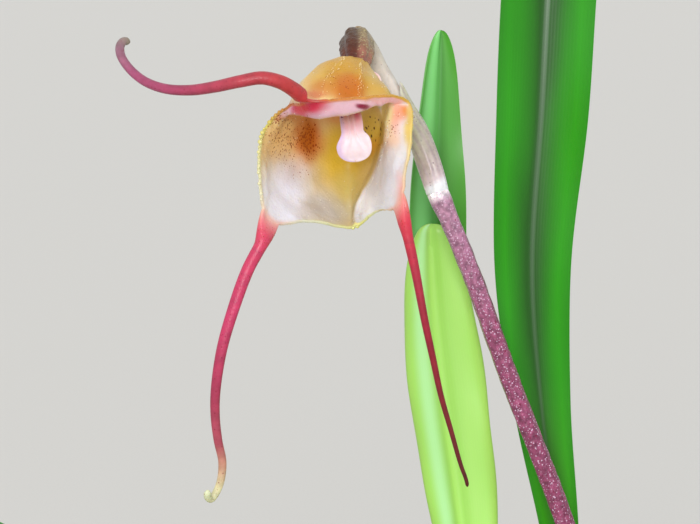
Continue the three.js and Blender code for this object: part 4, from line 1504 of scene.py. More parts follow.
        def colour(turn: Array, along: Array) -> Array:
            """Mahogany on the left, olive-grey on the right, redder towards the cup."""
            dark = painted(((0, "#4c3a1e"), (0.5, "#4a2a14"), (1.0, "#581c10")), along)
            light = painted(((0, "#8a805c"), (0.5, "#86704e"), (0.8, "#8c5c4c"), (1.0, "#8e4a3e")), along)
            return lerp(dark, light, ease(-np.cos(2 * np.pi * turn), -0.15, 0.35)[:, None])

        return laid_grid("warty_ovary", 132, 96, surface, {
            "paint": colour, "dots": lambda turn, along: 0.15 + 0.5 * ease(-np.cos(2 * np.pi * turn), -0.2, 0.3),
        })

    def dress(self, stalk: Piece, bracts: Sequence[Piece], floral_bract: Piece, pedicel: Piece, ovary: Piece) -> None:
        """Gives the stalk and what it carries their finishes.

        Args:
            stalk: The stalk.
            bracts: Its lower and its upper bract.
            floral_bract: The bract round the pedicel.
            pedicel: The pedicel.
            ovary: The ovary.
        """
        # Crowded with clear papillae over purple cells; their whitish glints are painted on as dots
        skin = Flesh(
            "stalk skin", roughness=0.32, glow=0.12, depth=0.8, papilla=0.42, relief=1.4, mottle=0.75, mottling=0.45,
            freckle=0.3, freckles="#cba9c2", fleck=0.7, flecks="#7a1f44")
        settle(stalk, skin.make(), Slot.STALK, "flower_stalk")
        # Dry and papery, reddened by the stalk under it
        paper = DryFibre("stalk bract", "#c4a98a", "#7a5040", 0.3).make()
        for bract, (place, _, _) in zip(bracts, self.small_bracts):
            settle(bract, paper, Slot.SHEATH, f"stalk_bract_{place}")
        # A living skin so thin that light comes through it
        membrane = Flesh(
            "thin bract", roughness=0.3, glow=0.5, depth=1.6, papilla=0.5, relief=0.4, mottle=1.6, mottling=0.16,
            freckle=0.6, freckles="#857078")
        settle(floral_bract, membrane.make(), Slot.BRACT, "floral_bract")
        # Smooth and watery, with a soft gloss
        stem = Flesh(
            "pedicel skin", roughness=0.4, papilla=0.4, relief=0.6, mottle=1.5, freckle=0.6, freckles="#7a4a3a")
        settle(pedicel, stem.make(), Slot.BRACT, "pedicel")
        # Firm and dark, with warts that catch the light one by one
        warty = Flesh(
            "warty ovary", roughness=0.36, glow=0.15, depth=0.8, papilla=0.4, relief=1.0, mottle=1.4, mottling=0.3,
            freckle=0.3, freckles="#b0a276")
        settle(ovary, warty.make(), Slot.OVARY, "ovary")


# Flower


@dataclass(frozen=True)
class Patch:
    """A soft oval of colour on the cup, or of freckles where it is used for them, in millimetres."""

    right: float  # of the flower
    up: float
    wide: float
    high: float
    colour: str = "#000000"
    strength: float = 1.0
    edge: float = 1.0  # 1 fades all the way out, 4 ends sharply

    def cover(self, right: Array, up: Array) -> Array:
        """How much of it lies at places on the cup, 0 to its strength."""
        distance = ((right - self.right) / self.wide) ** 2 + ((up - self.up) / self.high) ** 2
        return self.strength * np.exp(-distance ** self.edge)


@dataclass
class Tail:
    """One long tail of a sepal."""

    name: str
    apex: int  # the cup's line that it runs out of
    line: Points
    flare: float
    root: float
    tip: float
    face: Triple
    colours: Sequence[tuple[float, str]]
    flap_half: float = 1.9  # half width of its flap where that leaves the rim
    bleed: float = 0.1  # how far its colour runs back into the cup, as a share of the way to the neck
    flap_end: float = 0.14

    def __post_init__(self) -> None:
        """Lays the tail's path."""
        self.sweep = Sweep(from_flower(self.line), self.face)

    def radius(self, share: Array) -> Array:
        """Half width of the tail at a share of its length, drawn to a rounded tip."""
        return lerp(self.root, self.tip, share ** 0.8) * blunted(1 - share, 0.012)

    def ring(self, share: float, turns: Array, radius: float) -> Array:
        """A ring of points round the tail."""
        return self.sweep.around(np.full(len(turns), share), turns, np.full(len(turns), radius), 0.9)

    def build(self, turns: Array) -> Piece:
        """Builds the tail from where the cup's own flap ends.

        Args:
            turns: Where the flap's corners lie round its end ring.

        Returns:
            The tail.
        """
        first = turns[0]
        way = 1 if (turns[1] - turns[0] + 0.5) % 1 > 0.5 else -1

        def surface(turn: Array, along: Array) -> Array:
            """The tail's skin, with a shallow groove along it."""
            share = lerp(self.flap_end, 1.0, 1 - (1 - along) ** 1.15)
            groove = 1 - 0.06 * ease(share, self.flap_end, 0.3) * np.cos(4 * np.pi * turn)
            return self.sweep.around(share, first + way * turn, self.radius(share) * groove, 0.9)

        return laid_grid(f"long_tail_{self.name}", len(turns), 240, surface, {
            "paint": lambda turn, along: painted(self.colours, lerp(self.flap_end, 1.0, 1 - (1 - along) ** 1.15)),
            "dots": steady(0.3),
        })


TAILS = (
    Tail("dorsal", 0, (
        (-5.3, -15, -5.7), (-6, -16.5, -4.9), (-6.9, -17.7, -4), (-8, -18.9, -3), (-9.5, -20, -2.1),
        (-11.6, -20.5, -1.6), (-14.2, -20.5, -2), (-17.2, -19.5, -2.7), (-20.3, -18, -3.2),
        (-23.4, -16.5, -3.1), (-25.9, -15, -2.3), (-27.8, -13.5, -0.9), (-28.9, -12.5, 0.6),
        (-29.1, -11.5, 1.7), (-28.7, -10.5, 2.3), (-28, -10, 2.2),
    ), 1.5, 1.15, 0.5, (0, -0.5, 1), (
        (0, "#c4284a"), (0.08, "#b62f34"), (0.2, "#b03638"), (0.4, "#a63848"), (0.6, "#9d3a5a"),
        (0.8, "#954768"), (0.92, "#8c6272"), (1, "#86806e"),
    ), 2.5, 0.16),
    Tail("right", 6, (
        (4.6, -9.2, -18.1), (5.3, -10.8, -19), (5.8, -11.2, -21.2), (6.8, -11, -25.7), (8, -10.5, -32),
        (9.1, -9.5, -37.1), (10.1, -8.5, -41.7), (11.4, -7.5, -46.3), (12.7, -6.5, -50.9),
        (13.4, -6, -52.9), (13.6, -5.5, -53.9),
    ), 1.0, 0.74, 0.25, (0, -1, 0), (
        (0, "#e6aaa0"), (0.03, "#de7c7c"), (0.06, "#cc3c50"), (0.14, "#b42a40"), (0.3, "#9c2038"), (0.5, "#86182a"),
        (0.7, "#741b24"), (1, "#4f1918"),
    ), 1.6),
    Tail("left", 10, (
        (-10.6, -9.4, -19.1), (-11.2, -11.1, -20.4), (-12, -11.8, -22.3), (-13.7, -12.5, -25.5),
        (-15.5, -13, -30.4), (-16.9, -13, -35.3), (-17.7, -12.5, -40.4), (-17.8, -12, -43.6),
        (-17.5, -11.5, -46.8), (-17, -11, -49.6), (-17.2, -11, -51.9), (-17.8, -11, -53.5),
        (-18.4, -11.5, -54.2), (-18.8, -12.3, -53.7), (-18.7, -12.7, -52.8),
    ), 1.25, 0.9, 0.42, (0, -1, 0), (
        (0, "#e8b4ac"), (0.03, "#de8488"), (0.06, "#cf4a64"), (0.14, "#c0385c"), (0.35, "#b4335c"), (0.6, "#9e304f"),
        (0.76, "#a24656"), (0.84, "#b98a72"), (0.91, "#cbc49a"), (1, "#ccd0ac"),
    )),
)


@dataclass
class SepalCup:
    """The three sepals, grown together in one bowl whose points run out into the tails.

    Sixteen lines run out of its neck, over its throat, belly and last fold, to its rim.
    """

    stalk: FlowerStalk
    columns: int = 252
    rows: int = 92
    lip_rows: int = 5  # of the rounded margin
    flap_rows: int = 22
    wall: float = 0.7
    neck_radius: float = 1.25

    LOOKING_DOWN = 0.123  # slope of the view in which the paint is laid out
    LINES = {
        "dorsal apex": ((-1.5, -3.3, -0.5), (-3.2, -9.5, -3.2), (-4.7, -13.8, -6.6), (-6, -16.5, -4.7)),
        "dorsal vein right": ((-0.1, -2.7, -1.1), (0, -7.5, -3.2), (-0.5, -11.3, -6), (-0.6, -13.3, -4.5)),
        "dorsal shoulder right": ((1.3, -1.2, -2), (2.7, -4.2, -3.6), (3, -7.7, -5.2), (3.4, -9.3, -4.5)),
        "sinus right": ((2.3, 0.5, -4), (3.9, -3, -5.3), (4.1, -5, -5.5), (6.1, -5.5, -5.6)),
        "right margin upper": ((3.1, 1.5, -6.1), (3.7, -3.6, -7.9), (3.9, -5.7, -7.9), (6.4, -7.5, -8.1)),
        "right margin lower": ((3.1, 2, -8.7), (3.4, -4, -11.5), (4.1, -6.7, -11.5), (5.7, -9.5, -12.9)),
        "right apex": ((2.1, 3, -11.4), (2.2, -4, -16), (3.7, -8.5, -16.8), (4.9, -11, -17.6)),
        "right ventral": ((0.6, 4.3, -13.1), (0.4, -1, -18), (1.3, -4, -18.9), (1.9, -5.8, -19)),
        "ventral seam": ((-1.2, 5, -13.3), (-1.2, 2, -19), (-0.9, -0.6, -20.8), (-0.6, -2.6, -21.3)),
        "left ventral": ((-3.2, 4.5, -12.8), (-5, 0, -18.2), (-5.6, -3.5, -19.6), (-5.9, -6, -20.2)),
        "left apex": ((-5.1, 3, -11.4), (-9, -4.8, -17), (-10.4, -8.6, -18.4), (-11.2, -11.3, -19.6)),
        "left margin lower": ((-6, 2, -8.8), (-10.4, -5.5, -14), (-11.6, -9.3, -14.7), (-12.2, -12, -15.1)),
        "left margin upper": ((-5.5, 1, -5.8), (-9.6, -4, -9.6), (-11.3, -8.3, -9.9), (-12.1, -11, -9.5)),
        "sinus left": ((-4.6, 0, -3.2), (-7.8, -3.5, -5.4), (-9.5, -7.3, -7.2), (-10.6, -9.3, -7.1)),
        "dorsal shoulder left": ((-3.9, -1.5, -1.4), (-6.9, -6, -2.9), (-8.4, -9.5, -6.3), (-8.5, -11.2, -5.5)),
        "dorsal vein left": ((-2.6, -2.4, -0.3), (-5.2, -7.6, -2), (-7.1, -12.1, -6.4), (-7.2, -14.3, -5.2)),
    }
    GROUND = {Wall.INSIDE: "#dcc690", Wall.OUTSIDE: "#e6cf98"}  # under the patches
    PAINT = {
        Wall.INSIDE: (
            Patch(-9.6, -18.5, 3.6, 5.6, "#edebf7", 1.0, 2.0),  # white of the left blade
            Patch(-4.2, -19.6, 3.4, 2.6, "#c6c4c6", 0.85, 1.6),
            Patch(-10.0, -10.8, 3.2, 2.6, "#eec68a", 1.0, 1.6),  # tan upper corner of the left blade
            Patch(-8.4, -14.2, 2.2, 1.6, "#dccdd2", 0.7),
            Patch(-2.2, -12.2, 3.6, 4.6, "#d5b63a", 1.0, 2.2),  # gold pocket
            Patch(-1.4, -17.0, 2.4, 2.6, "#c6b468", 0.9, 1.6),
            Patch(-0.6, -20.0, 1.6, 1.8, "#c8bc94", 0.8),
            Patch(-6.9, -10.4, 2.0, 3.0, "#dc9c60", 0.8, 1.5),
            Patch(-6.6, -10.2, 1.55, 2.9, "#bd681d", 1.0, 1.8),  # orange-brown blotch
            Patch(-10.0, -7.7, 3.4, 0.5, "#cf7a48", 0.7),
            Patch(1.6, -9.6, 1.9, 3.6, "#c8ac34", 0.9, 2.4),  # olive throat on the right
            Patch(2.3, -11.2, 1.2, 1.2, "#d6a240", 0.8),
            Patch(-3.0, -7.6, 1.6, 0.7, "#d99a62", 0.8),
        ),
        Wall.OUTSIDE: (
            Patch(-1.2, -2.8, 5.6, 3.8, "#c69628", 1.0, 2.0),  # ochre hood
            Patch(-1.5, -5.0, 2.1, 2.1, "#c06c0e", 1.0, 2.0),  # orange between its keels
            Patch(-4.8, -4.8, 1.5, 0.9, "#b86a1c", 0.75),
            Patch(-5.2, -2.9, 0.9, 1.0, "#d0ac58", 0.7),
            Patch(1.6, -2.8, 0.8, 1.3, "#d8bc70", 0.8),
            Patch(3.4, -5.2, 2.2, 1.0, "#d0a230", 0.85),
            Patch(-8.4, -6.6, 1.6, 0.8, "#b4703a", 0.9),
            Patch(-5.4, -5.8, 1.5, 0.5, "#c0583a", 0.7, 1.5),
            Patch(-10.0, -13.0, 4.0, 7.0, "#efe0c8", 0.8, 2.0),
            Patch(4.5, -14.0, 2.5, 6.0, "#efe0c8", 0.8, 2.0),
        ),
    }
    FOLD = (  # up, right: where the right blade starts, sharply, and runs on behind the lip
        (-22.0, -0.35), (-21.0, -0.3), (-19.9, -0.15), (-18.6, 0.2), (-17.3, 0.7), (-16.1, 1.4), (-14.7, 2.05),
        (-13.4, 2.55), (-11.9, 2.95), (-10.4, 3.55), (-8.8, 3.45), (-7.3, 3.05), (-6.0, 2.3),
    )
    HOOD_MARGIN = "#e8bccb"  # the pale margin that the hood turns up
    HOOD_PAINT = (
        Patch(-6.4, -8.0, 2.2, 0.5, "#cfaec4", 0.8),
        Patch(-7.7, -7.0, 0.7, 0.6, "#b8508a", 0.9),
        Patch(-6.4, -7.1, 1.8, 1.0, "#c81f45", 1.0, 2.0),  # crimson root of the upper tail
        Patch(-1.0, -5.9, 4.2, 0.35, "#e09a80", 0.8),
        Patch(0.1, -6.85, 0.9, 0.32, "#8a0038", 1.0, 3.0),  # dark dash at its right
    )
    BLADE = "#d6d4d8"  # of the right blade, beyond the fold
    BLADE_PAINT = (
        Patch(4.5, -7.6, 0.9, 2.6, "#eea692", 0.95, 1.3),
        Patch(5.6, -7.5, 0.8, 0.9, "#e08a3c", 0.95),
        Patch(4.3, -10.8, 1.2, 1.5, "#e2bca0", 0.85),
        Patch(6.2, -9.6, 0.5, 2.8, "#d8b656", 0.9, 1.5),
        Patch(3.4, -15.4, 1.5, 2.4, "#d2d0d8", 0.9),
        Patch(0.9, -18.9, 1.3, 1.6, "#ece9ec", 1.0, 1.4),
        Patch(5.2, -17.4, 0.45, 2.2, "#e6a8a4", 0.9),
        Patch(3.5, -7.8, 0.7, 2.8, "#f4e2a0", 1.0, 1.5),  # cream ridge
    )
    DOTS = {  # where freckles lie
        Wall.INSIDE: (
            Patch(-9.8, -10.6, 2.8, 3.2, strength=0.66, edge=1.6),
            Patch(-6.6, -10.4, 1.5, 3.0, strength=0.95, edge=2.0),
            Patch(-10.5, -8.2, 3.0, 0.8, strength=1.0),
            Patch(-8.0, -14.4, 2.4, 1.8, strength=0.45),
            Patch(4.3, -9.6, 1.0, 2.6, strength=0.55),
        ),
        Wall.OUTSIDE: (
            Patch(-3.6, -3.8, 1.0, 1.4, strength=0.6),
            Patch(-1.2, -4.4, 1.8, 0.9, strength=0.55),
            Patch(-8.0, -12.0, 5.0, 6.0, strength=0.3),
            Patch(4.5, -12.0, 2.5, 6.0, strength=0.3),
        ),
    }
    FLECKS = (Patch(2.1, -9.2, 1.7, 2.8, strength=0.56, edge=2.5),)  # dark ones in the throat
    MARGIN = (  # colours of the rim, at turns counted in lines
        (0.0, "#c46a3a"), (1.5, "#cc9040"), (2.8, "#cfa244"), (4.2, "#d6b868"), (5.2, "#d8bc98"), (6.0, "#e09088"),
        (7.0, "#dcd8ac"), (7.7, "#d8d27c"), (8.2, "#d8d28c"), (9.2, "#dedcc0"), (10.0, "#e0a49e"), (10.8, "#dcd4b0"),
        (11.6, "#d6cc90"), (12.6, "#cabc5c"), (13.1, "#c49c4c"), (14.0, "#b4643c"), (15.0, "#c0683c"),
        (16.0, "#c46a3a"),
    )
    # Turn, counted in lines, and height of each keel on the outside, with the hood's two first
    KEELS = ((15.75, 0.16), (0.95, 0.16), (14.5, 0.08), (2.2, 0.08), (4.4, 0.1), (6.0, 0.16), (7.2, 0.08),
             (8.8, 0.08), (10.0, 0.16), (11.6, 0.1), (12.6, 0.08))

    def __post_init__(self) -> None:
        """Lays the hoops and spreads the columns evenly round the rim, one on each apex."""
        lines = np.array(list(self.LINES.values())) + FLOWER
        self.hoops = [Spline(lines[:, level], closed=True) for level in range(lines.shape[1])]
        rim = self.hoops[-1]
        count = len(lines)
        stops = [tail.apex / count for tail in TAILS] + [1.0]
        reach = np.interp(stops, rim.evenly, rim.travelled / rim.length)
        self.turns, self.apex_columns = [], []
        for low, high in zip(reach, reach[1:]):
            number = round((high - low) * self.columns)
            self.apex_columns.append(len(self.turns))
            self.turns.extend(rim.even(np.linspace(low, high, number, endpoint=False)))
        self.turns = np.array(self.turns)
        self.columns = len(self.turns)
        self.spacing = rim.length / self.columns
        self.outs = np.linspace(0.012, 1, self.rows)
        self.shape()

    def neck(self) -> Array:
        """Lays the small circle that the cup starts from.

        Returns:
            A point of it for each column.
        """
        along = self.stalk.ovary.path.heading(np.array([1.0]))[0]
        side = unit(np.cross(along, UP))
        up = np.cross(side, along)
        angle = 2 * np.pi * self.turns[:, None]
        return np.array(self.stalk.ovary_line[-1]) + FLOWER + self.neck_radius * (
            np.cos(angle) * up - np.sin(angle) * side)

    def shape(self) -> None:
        """Works out the middle of the shell and which way it faces, by row and column."""
        through = np.array([self.neck(), *(hoop.at(self.turns) for hoop in self.hoops)])
        middle = Spline(through).at(self.outs)
        flat = middle.reshape(-1, 3)
        edge = ease(self.outs, 0.7, 1)[:, None]
        self.facing = self.faces_of(middle)
        sway = wobble(flat, 3.4).reshape(middle.shape[:2]) * 0.22 + wobble(flat, 1.3, 5).reshape(
            middle.shape[:2]) * (0.05 + 0.09 * edge)
        self.middle = middle + self.facing * (sway * ease(self.outs, 0.1, 0.4)[:, None])[..., None]
        self.facing = self.faces_of(self.middle)

    @staticmethod
    def faces_of(middle: Array) -> Array:
        """Directions in which a sheet faces, towards the cup's inside.

        Args:
            middle: Its places, by row and column.

        Returns:
            One direction for each place.
        """
        around = np.roll(middle, -1, axis=1) - np.roll(middle, 1, axis=1)
        outwards = np.gradient(middle, axis=0)
        return unit(np.cross(around, outwards))

    def wall_of(self, side: Wall) -> Array:
        """One wall of the shell, with its keels and veins.

        Args:
            side: Which wall.

        Returns:
            Its corners, by row and column.
        """
        half = self.wall / 2 * lerp(1.0, 0.5, ease(self.outs, 0.8, 1))[:, None]
        turn = len(self.LINES) * self.turns[None, :]
        rise = np.zeros((self.rows, self.columns))
        if side is Wall.OUTSIDE:
            for place, height in self.KEELS:
                across = self.aside(turn, place)
                along = (np.sin(np.pi * np.clip(self.outs, 0, 1)) ** 0.5)[:, None]
                rise = rise + height * along * hump(across, 0, 0.13)
        else:
            veins = 0.5 + 0.5 * np.cos(2 * np.pi * turn * 1.5)
            rise = rise + 0.05 * veins ** 2 * ease(self.outs, 0.25, 0.6)[:, None]
            right, up = self.seen(self.middle)
            beyond = self.beyond_fold(right, up)
            shown = ease(self.outs, 0.4, 0.55)[:, None] * ease(up, -5.5, -6.5)
            rise = rise + 0.28 * shown * hump(beyond, 0, 0.32)
        return self.middle + side.value * (half + rise)[..., None] * self.facing

    def aside(self, turn: Array, place: float) -> Array:
        """How far round from a line turns lie, counted in lines either way."""
        half = len(self.LINES) / 2
        return (turn - place + half) % len(self.LINES) - half

    @staticmethod
    def seen(places: Array) -> tuple[Array, Array]:
        """How far to the right of the flower places lie, and how far up as seen from a little above."""
        offsets = places - FLOWER
        return offsets[..., 0], offsets[..., 2] + SepalCup.LOOKING_DOWN * offsets[..., 1]

    def beyond_fold(self, right: Array, up: Array) -> Array:
        """How far to the right of the fold places lie."""
        heights, rights = np.array(self.FOLD).T
        return right - np.interp(up, heights, rights)

    def traits(self, side: Wall) -> dict[str, Array]:
        """Colour, freckles and flecks of one wall, by row and column.

        Args:
            side: The wall.

        Returns:
            Linear colours as paint, and how thick the freckles lie as dots and flecks.
        """
        flat = self.middle.reshape(-1, 3)
        right, up = self.seen(flat)
        beyond = self.beyond_fold(right, up)
        turn, out = np.tile(len(self.LINES) * self.turns, self.rows), np.repeat(self.outs, self.columns)
        right = right + 0.35 * wobble(flat, 1.9, 2)
        up = up + 0.35 * wobble(flat, 1.6, 7)
        colour = np.tile(linear(self.GROUND[side]), (len(flat), 1))
        for patch in self.PAINT[side]:
            colour = lerp(colour, linear(patch.colour), patch.cover(right, up)[:, None])
        dots = np.zeros(len(flat))
        for patch in self.DOTS[side]:
            dots = np.maximum(dots, patch.cover(right, up))
        flecks = np.zeros(len(flat))
        if side is Wall.INSIDE:
            crisp = ease(beyond, -0.15, 0.2)
            turned_up = ease(out, 0.72, 0.84) * ease(np.abs(self.aside(turn, 0)), 3.0, 2.4)
            layers = (self.BLADE, self.BLADE_PAINT, crisp), (self.HOOD_MARGIN, self.HOOD_PAINT, turned_up)
            for ground, patches, share in layers:
                layer = np.tile(linear(ground), (len(flat), 1))
                for patch in patches:
                    layer = lerp(layer, linear(patch.colour), patch.cover(right, up)[:, None])
                colour = lerp(colour, layer, share[:, None])
            for patch in self.FLECKS:
                flecks = np.maximum(flecks, patch.cover(right, up)) * (1 - crisp)
            fold_shade = 0.25 * hump(beyond, -0.35, 0.25) * ease(up, -6.5, -8)
            colour = colour * (1 - fold_shade)[:, None]
        edge = ease(out, 0.965, 0.995)[:, None]
        colour = lerp(colour, painted(self.MARGIN, turn), 0.75 * edge)
        for tail in TAILS:
            aside = self.aside(turn, tail.apex)
            run = np.exp(-((aside / 0.42) ** 4)) * ease(out, 1 - tail.bleed, 1)
            colour = lerp(colour, linear(tail.colours[0][1]), run[:, None])
        return {"paint": colour, "dots": dots, "flecks": flecks}

    def build(self) -> tuple[Piece, list[Array]]:
        """Builds the shell: its outside out to the rim, round the margin, and its inside back, with three flaps.

        No primitive gives this form, so its corners and faces are listed row by row.

        Returns:
            The cup, and for each tail where its flap's corners lie round the end ring.
        """
        outside, inside = self.wall_of(Wall.OUTSIDE), self.wall_of(Wall.INSIDE)
        kept_out, kept_in = self.traits(Wall.OUTSIDE), self.traits(Wall.INSIDE)
        ahead = unit(self.middle[-1] - self.middle[-2])
        across = (inside[-1] - outside[-1]) / 2
        centre = (inside[-1] + outside[-1]) / 2
        reach = np.linalg.norm(across, axis=1, keepdims=True)
        margin = []
        for k in range(1, self.lip_rows + 1):
            angle = math.pi * k / (self.lip_rows + 1)
            margin.append(centre - math.cos(angle) * across + math.sin(angle) * reach * ahead)
        back = unit(self.neck().mean(axis=0) - self.middle[4].mean(axis=0))
        cap = outside[0] * 0.8 + outside[0].mean(axis=0) * 0.2 + 0.35 * back
        rows = [cap, *outside, *margin, *inside[::-1]]
        places = np.concatenate(rows)
        traits = {}
        for trait, values in kept_out.items():
            outer, inner = (kept.reshape(self.rows, self.columns, -1) for kept in (values, kept_in[trait]))
            rim = painted(self.MARGIN, len(self.LINES) * self.turns) if trait == "paint" else inner[-1]
            traits[trait] = np.concatenate([outer[0], *outer, *[rim] * self.lip_rows, *inner[::-1]])
        first_margin, last_margin = self.rows, self.rows + self.lip_rows + 1
        halves = [round(tail.flap_half / self.spacing) for tail in TAILS]
        open_columns = {
            (apex + k) % self.columns for apex, half in zip(self.apex_columns, halves) for k in range(-half, half)}
        faces = []
        for row in range(len(rows) - 1):
            for column in range(self.columns):
                if first_margin <= row < last_margin and column in open_columns:
                    continue
                a, b = row * self.columns + column, row * self.columns + (column + 1) % self.columns
                faces.append((a, b, b + self.columns, a + self.columns))
        turns = []
        for tail, apex, half in zip(TAILS, self.apex_columns, halves):
            loop = self.flap_loop(apex, half, first_margin, last_margin)
            rings, ring_turns = self.flap_rings(tail, places[loop])
            turns.append(ring_turns)
            fade = np.linspace(0, 1, self.flap_rows + 1)[1:]
            before = loop
            for ring, share, step in zip(rings, self.flap_shares(tail), fade):
                start = len(places)
                places = np.concatenate([places, ring])
                ground = {"paint": painted(tail.colours, np.full(len(loop), share)), "dots": 0.3, "flecks": 0.0}
                for trait, values in traits.items():
                    blend = ease(step, -0.25, 0.55)
                    traits[trait] = np.concatenate([values, lerp(values[loop], ground[trait], blend)])
                after = np.arange(start, start + len(loop))
                for k in range(len(loop)):
                    n = (k + 1) % len(loop)
                    faces.append((before[k], before[n], after[n], after[k]))
                before = after
        mesh = bpy.data.meshes.new("joined_sepals")
        mesh.from_pydata((places * MM).tolist(), [], [tuple(int(i) for i in face) for face in faces])
        piece = linked("joined_sepals", mesh)
        for trait, values in traits.items():
            keep_trait(piece, trait, values.squeeze())
        tidy_shell(piece)
        return piece, turns

    def flap_loop(self, apex: int, half: int, first: int, last: int) -> Array:
        """Corners round the opening that a flap grows from, out on one wall, over the margin and back.

        Args:
            apex: The column in the middle of the opening.
            half: How many columns wide it is on each side.
            first: The row before the margin.
            last: The row after it.

        Returns:
            The numbers of the corners.
        """
        span = [(apex + k) % self.columns for k in range(-half, half + 1)]
        rows = range(first + 1, last)
        loop = [first * self.columns + column for column in span]
        loop += [row * self.columns + span[-1] for row in rows]
        loop += [last * self.columns + column for column in reversed(span)]
        loop += [row * self.columns + span[0] for row in reversed(rows)]
        return np.array(loop)

    def flap_shares(self, tail: Tail) -> Array:
        """Where the rings of a flap lie.

        Args:
            tail: The tail that the flap runs into.

        Returns:
            Shares of the tail's path.
        """
        apex = self.middle[-1, self.apex_columns[TAILS.index(tail)]]
        shares = np.linspace(0, tail.flap_end, 60)
        start = shares[np.argmin(np.linalg.norm(tail.sweep.path.along(shares) - apex, axis=1))]
        return np.linspace(start, tail.flap_end, self.flap_rows + 1)[1:]

    def flap_rings(self, tail: Tail, loop: Array) -> tuple[list[Array], Array]:
        """Rings that draw a flap of the rim together into the root of its tail.

        Args:
            tail: The tail.
            loop: The corners that it starts from.

        Returns:
            The rings, and where their corners lie round the last one.
        """
        shares = self.flap_shares(tail)
        step = shares[1] - shares[0]
        origin, side, out = tail.sweep.frame(np.array([shares[0] - step]))
        spread = loop - loop.mean(axis=0)
        angles = np.unwrap(np.arctan2(spread @ out[0], spread @ side[0]))
        way = 1 if angles[-1] > angles[0] else -1
        even = way * np.arange(len(loop)) / len(loop)
        turns = even + np.mean(angles / (2 * np.pi) - even)
        rings = []
        for k, share in enumerate(shares):
            t = (k + 1) / len(shares)
            moved = loop + tail.sweep.path.along(np.array([share])) - origin
            radius = lerp(tail.flare, float(tail.radius(share)), float(ease(t, 0, 0.9)))
            rings.append(lerp(moved, tail.ring(share, turns, radius), float(ease(t, 0, 0.8))))
        return rings, turns

    def bead_seats(self, draw: np.random.Generator) -> Iterator[tuple[Array, float, Array]]:
        """Chooses the papillae.

        Args:
            draw: The seeded source of chance.

        Yields:
            Where each stands, how large it is in millimetres, and its colour.
        """
        outside, inside = self.wall_of(Wall.OUTSIDE), self.wall_of(Wall.INSIDE)
        for column in range(self.columns):
            apart = [abs((column - apex + self.columns // 2) % self.columns - self.columns // 2) * self.spacing
                     for apex in self.apex_columns]
            if any(distance < tail.flap_half + 0.2 for distance, tail in zip(apart, TAILS)):
                continue
            turn = len(self.LINES) * self.turns[column]
            ahead = unit(self.middle[-1, column] - self.middle[-2, column])
            # Mealy lumps stand on the left margin and at the ventral seam
            large = 10.6 < turn < 13.6 or 7.75 < turn < 8.1
            if large and column % 2:
                continue
            size = draw.uniform(0.18, 0.26) if large else 0.08
            yield self.middle[-1, column] + 0.17 * ahead, size, painted(self.MARGIN, np.array([turn]))[0]
        # The papillae on the hood's keels, the fold and the walls are painted near white: pale cells with their glints
        # painted in
        for place, _ in self.KEELS[:2]:
            column = int(np.argmin(np.abs(len(self.LINES) * self.turns - place)))
            for row in (np.linspace(0.25, 0.82, 60) * (self.rows - 1)).astype(int):
                across = (column + draw.integers(-1, 2)) % self.columns
                yield outside[row, across] - 0.1 * self.facing[row, across], 0.055, linear("#f4dc9c")
        right, up = self.seen(inside)
        for height in np.linspace(-20.6, -9.0, 70):
            off = np.abs(self.beyond_fold(right, up)) + np.abs(up - height)
            off[: self.rows * 2 // 5] += 9
            row, column = np.unravel_index(np.argmin(off), off.shape)
            yield inside[row, column] + 0.02 * self.facing[row, column], 0.06, linear("#f4f0e4")
        for wall, count in ((inside, 260), (outside, 260)):
            for _ in range(count):
                row, column = draw.integers(30, self.rows - 3), draw.integers(self.columns)
                yield wall[row, column], 0.05, linear("#f2ead8")

    def build_beads(self, seed: int = 5) -> Piece:
        """Sets glistening papillae along the margin, the hood's keels and the fold, and a few on the walls.

        Args:
            seed: Seed of the draws.

        Returns:
            The papillae, as one piece.
        """
        draw = np.random.default_rng(seed)
        model = primitive("ico_sphere", "sepal_papillae", subdivisions=2, radius=MM)
        seats = list(self.bead_seats(draw))
        places = [
            lying_on(point + draw.normal(size=3) * 0.03, UP, size * draw.uniform(0.7, 1.3)) for point, size, _ in seats]
        per_bead = len(model.data.vertices)
        beads = joined("sepal_papillae", copies(model, places))
        bpy.data.objects.remove(model)
        keep_trait(beads, "paint", np.repeat(np.array([colour for _, _, colour in seats]), per_bead, axis=0))
        shade_smooth(beads)
        return beads


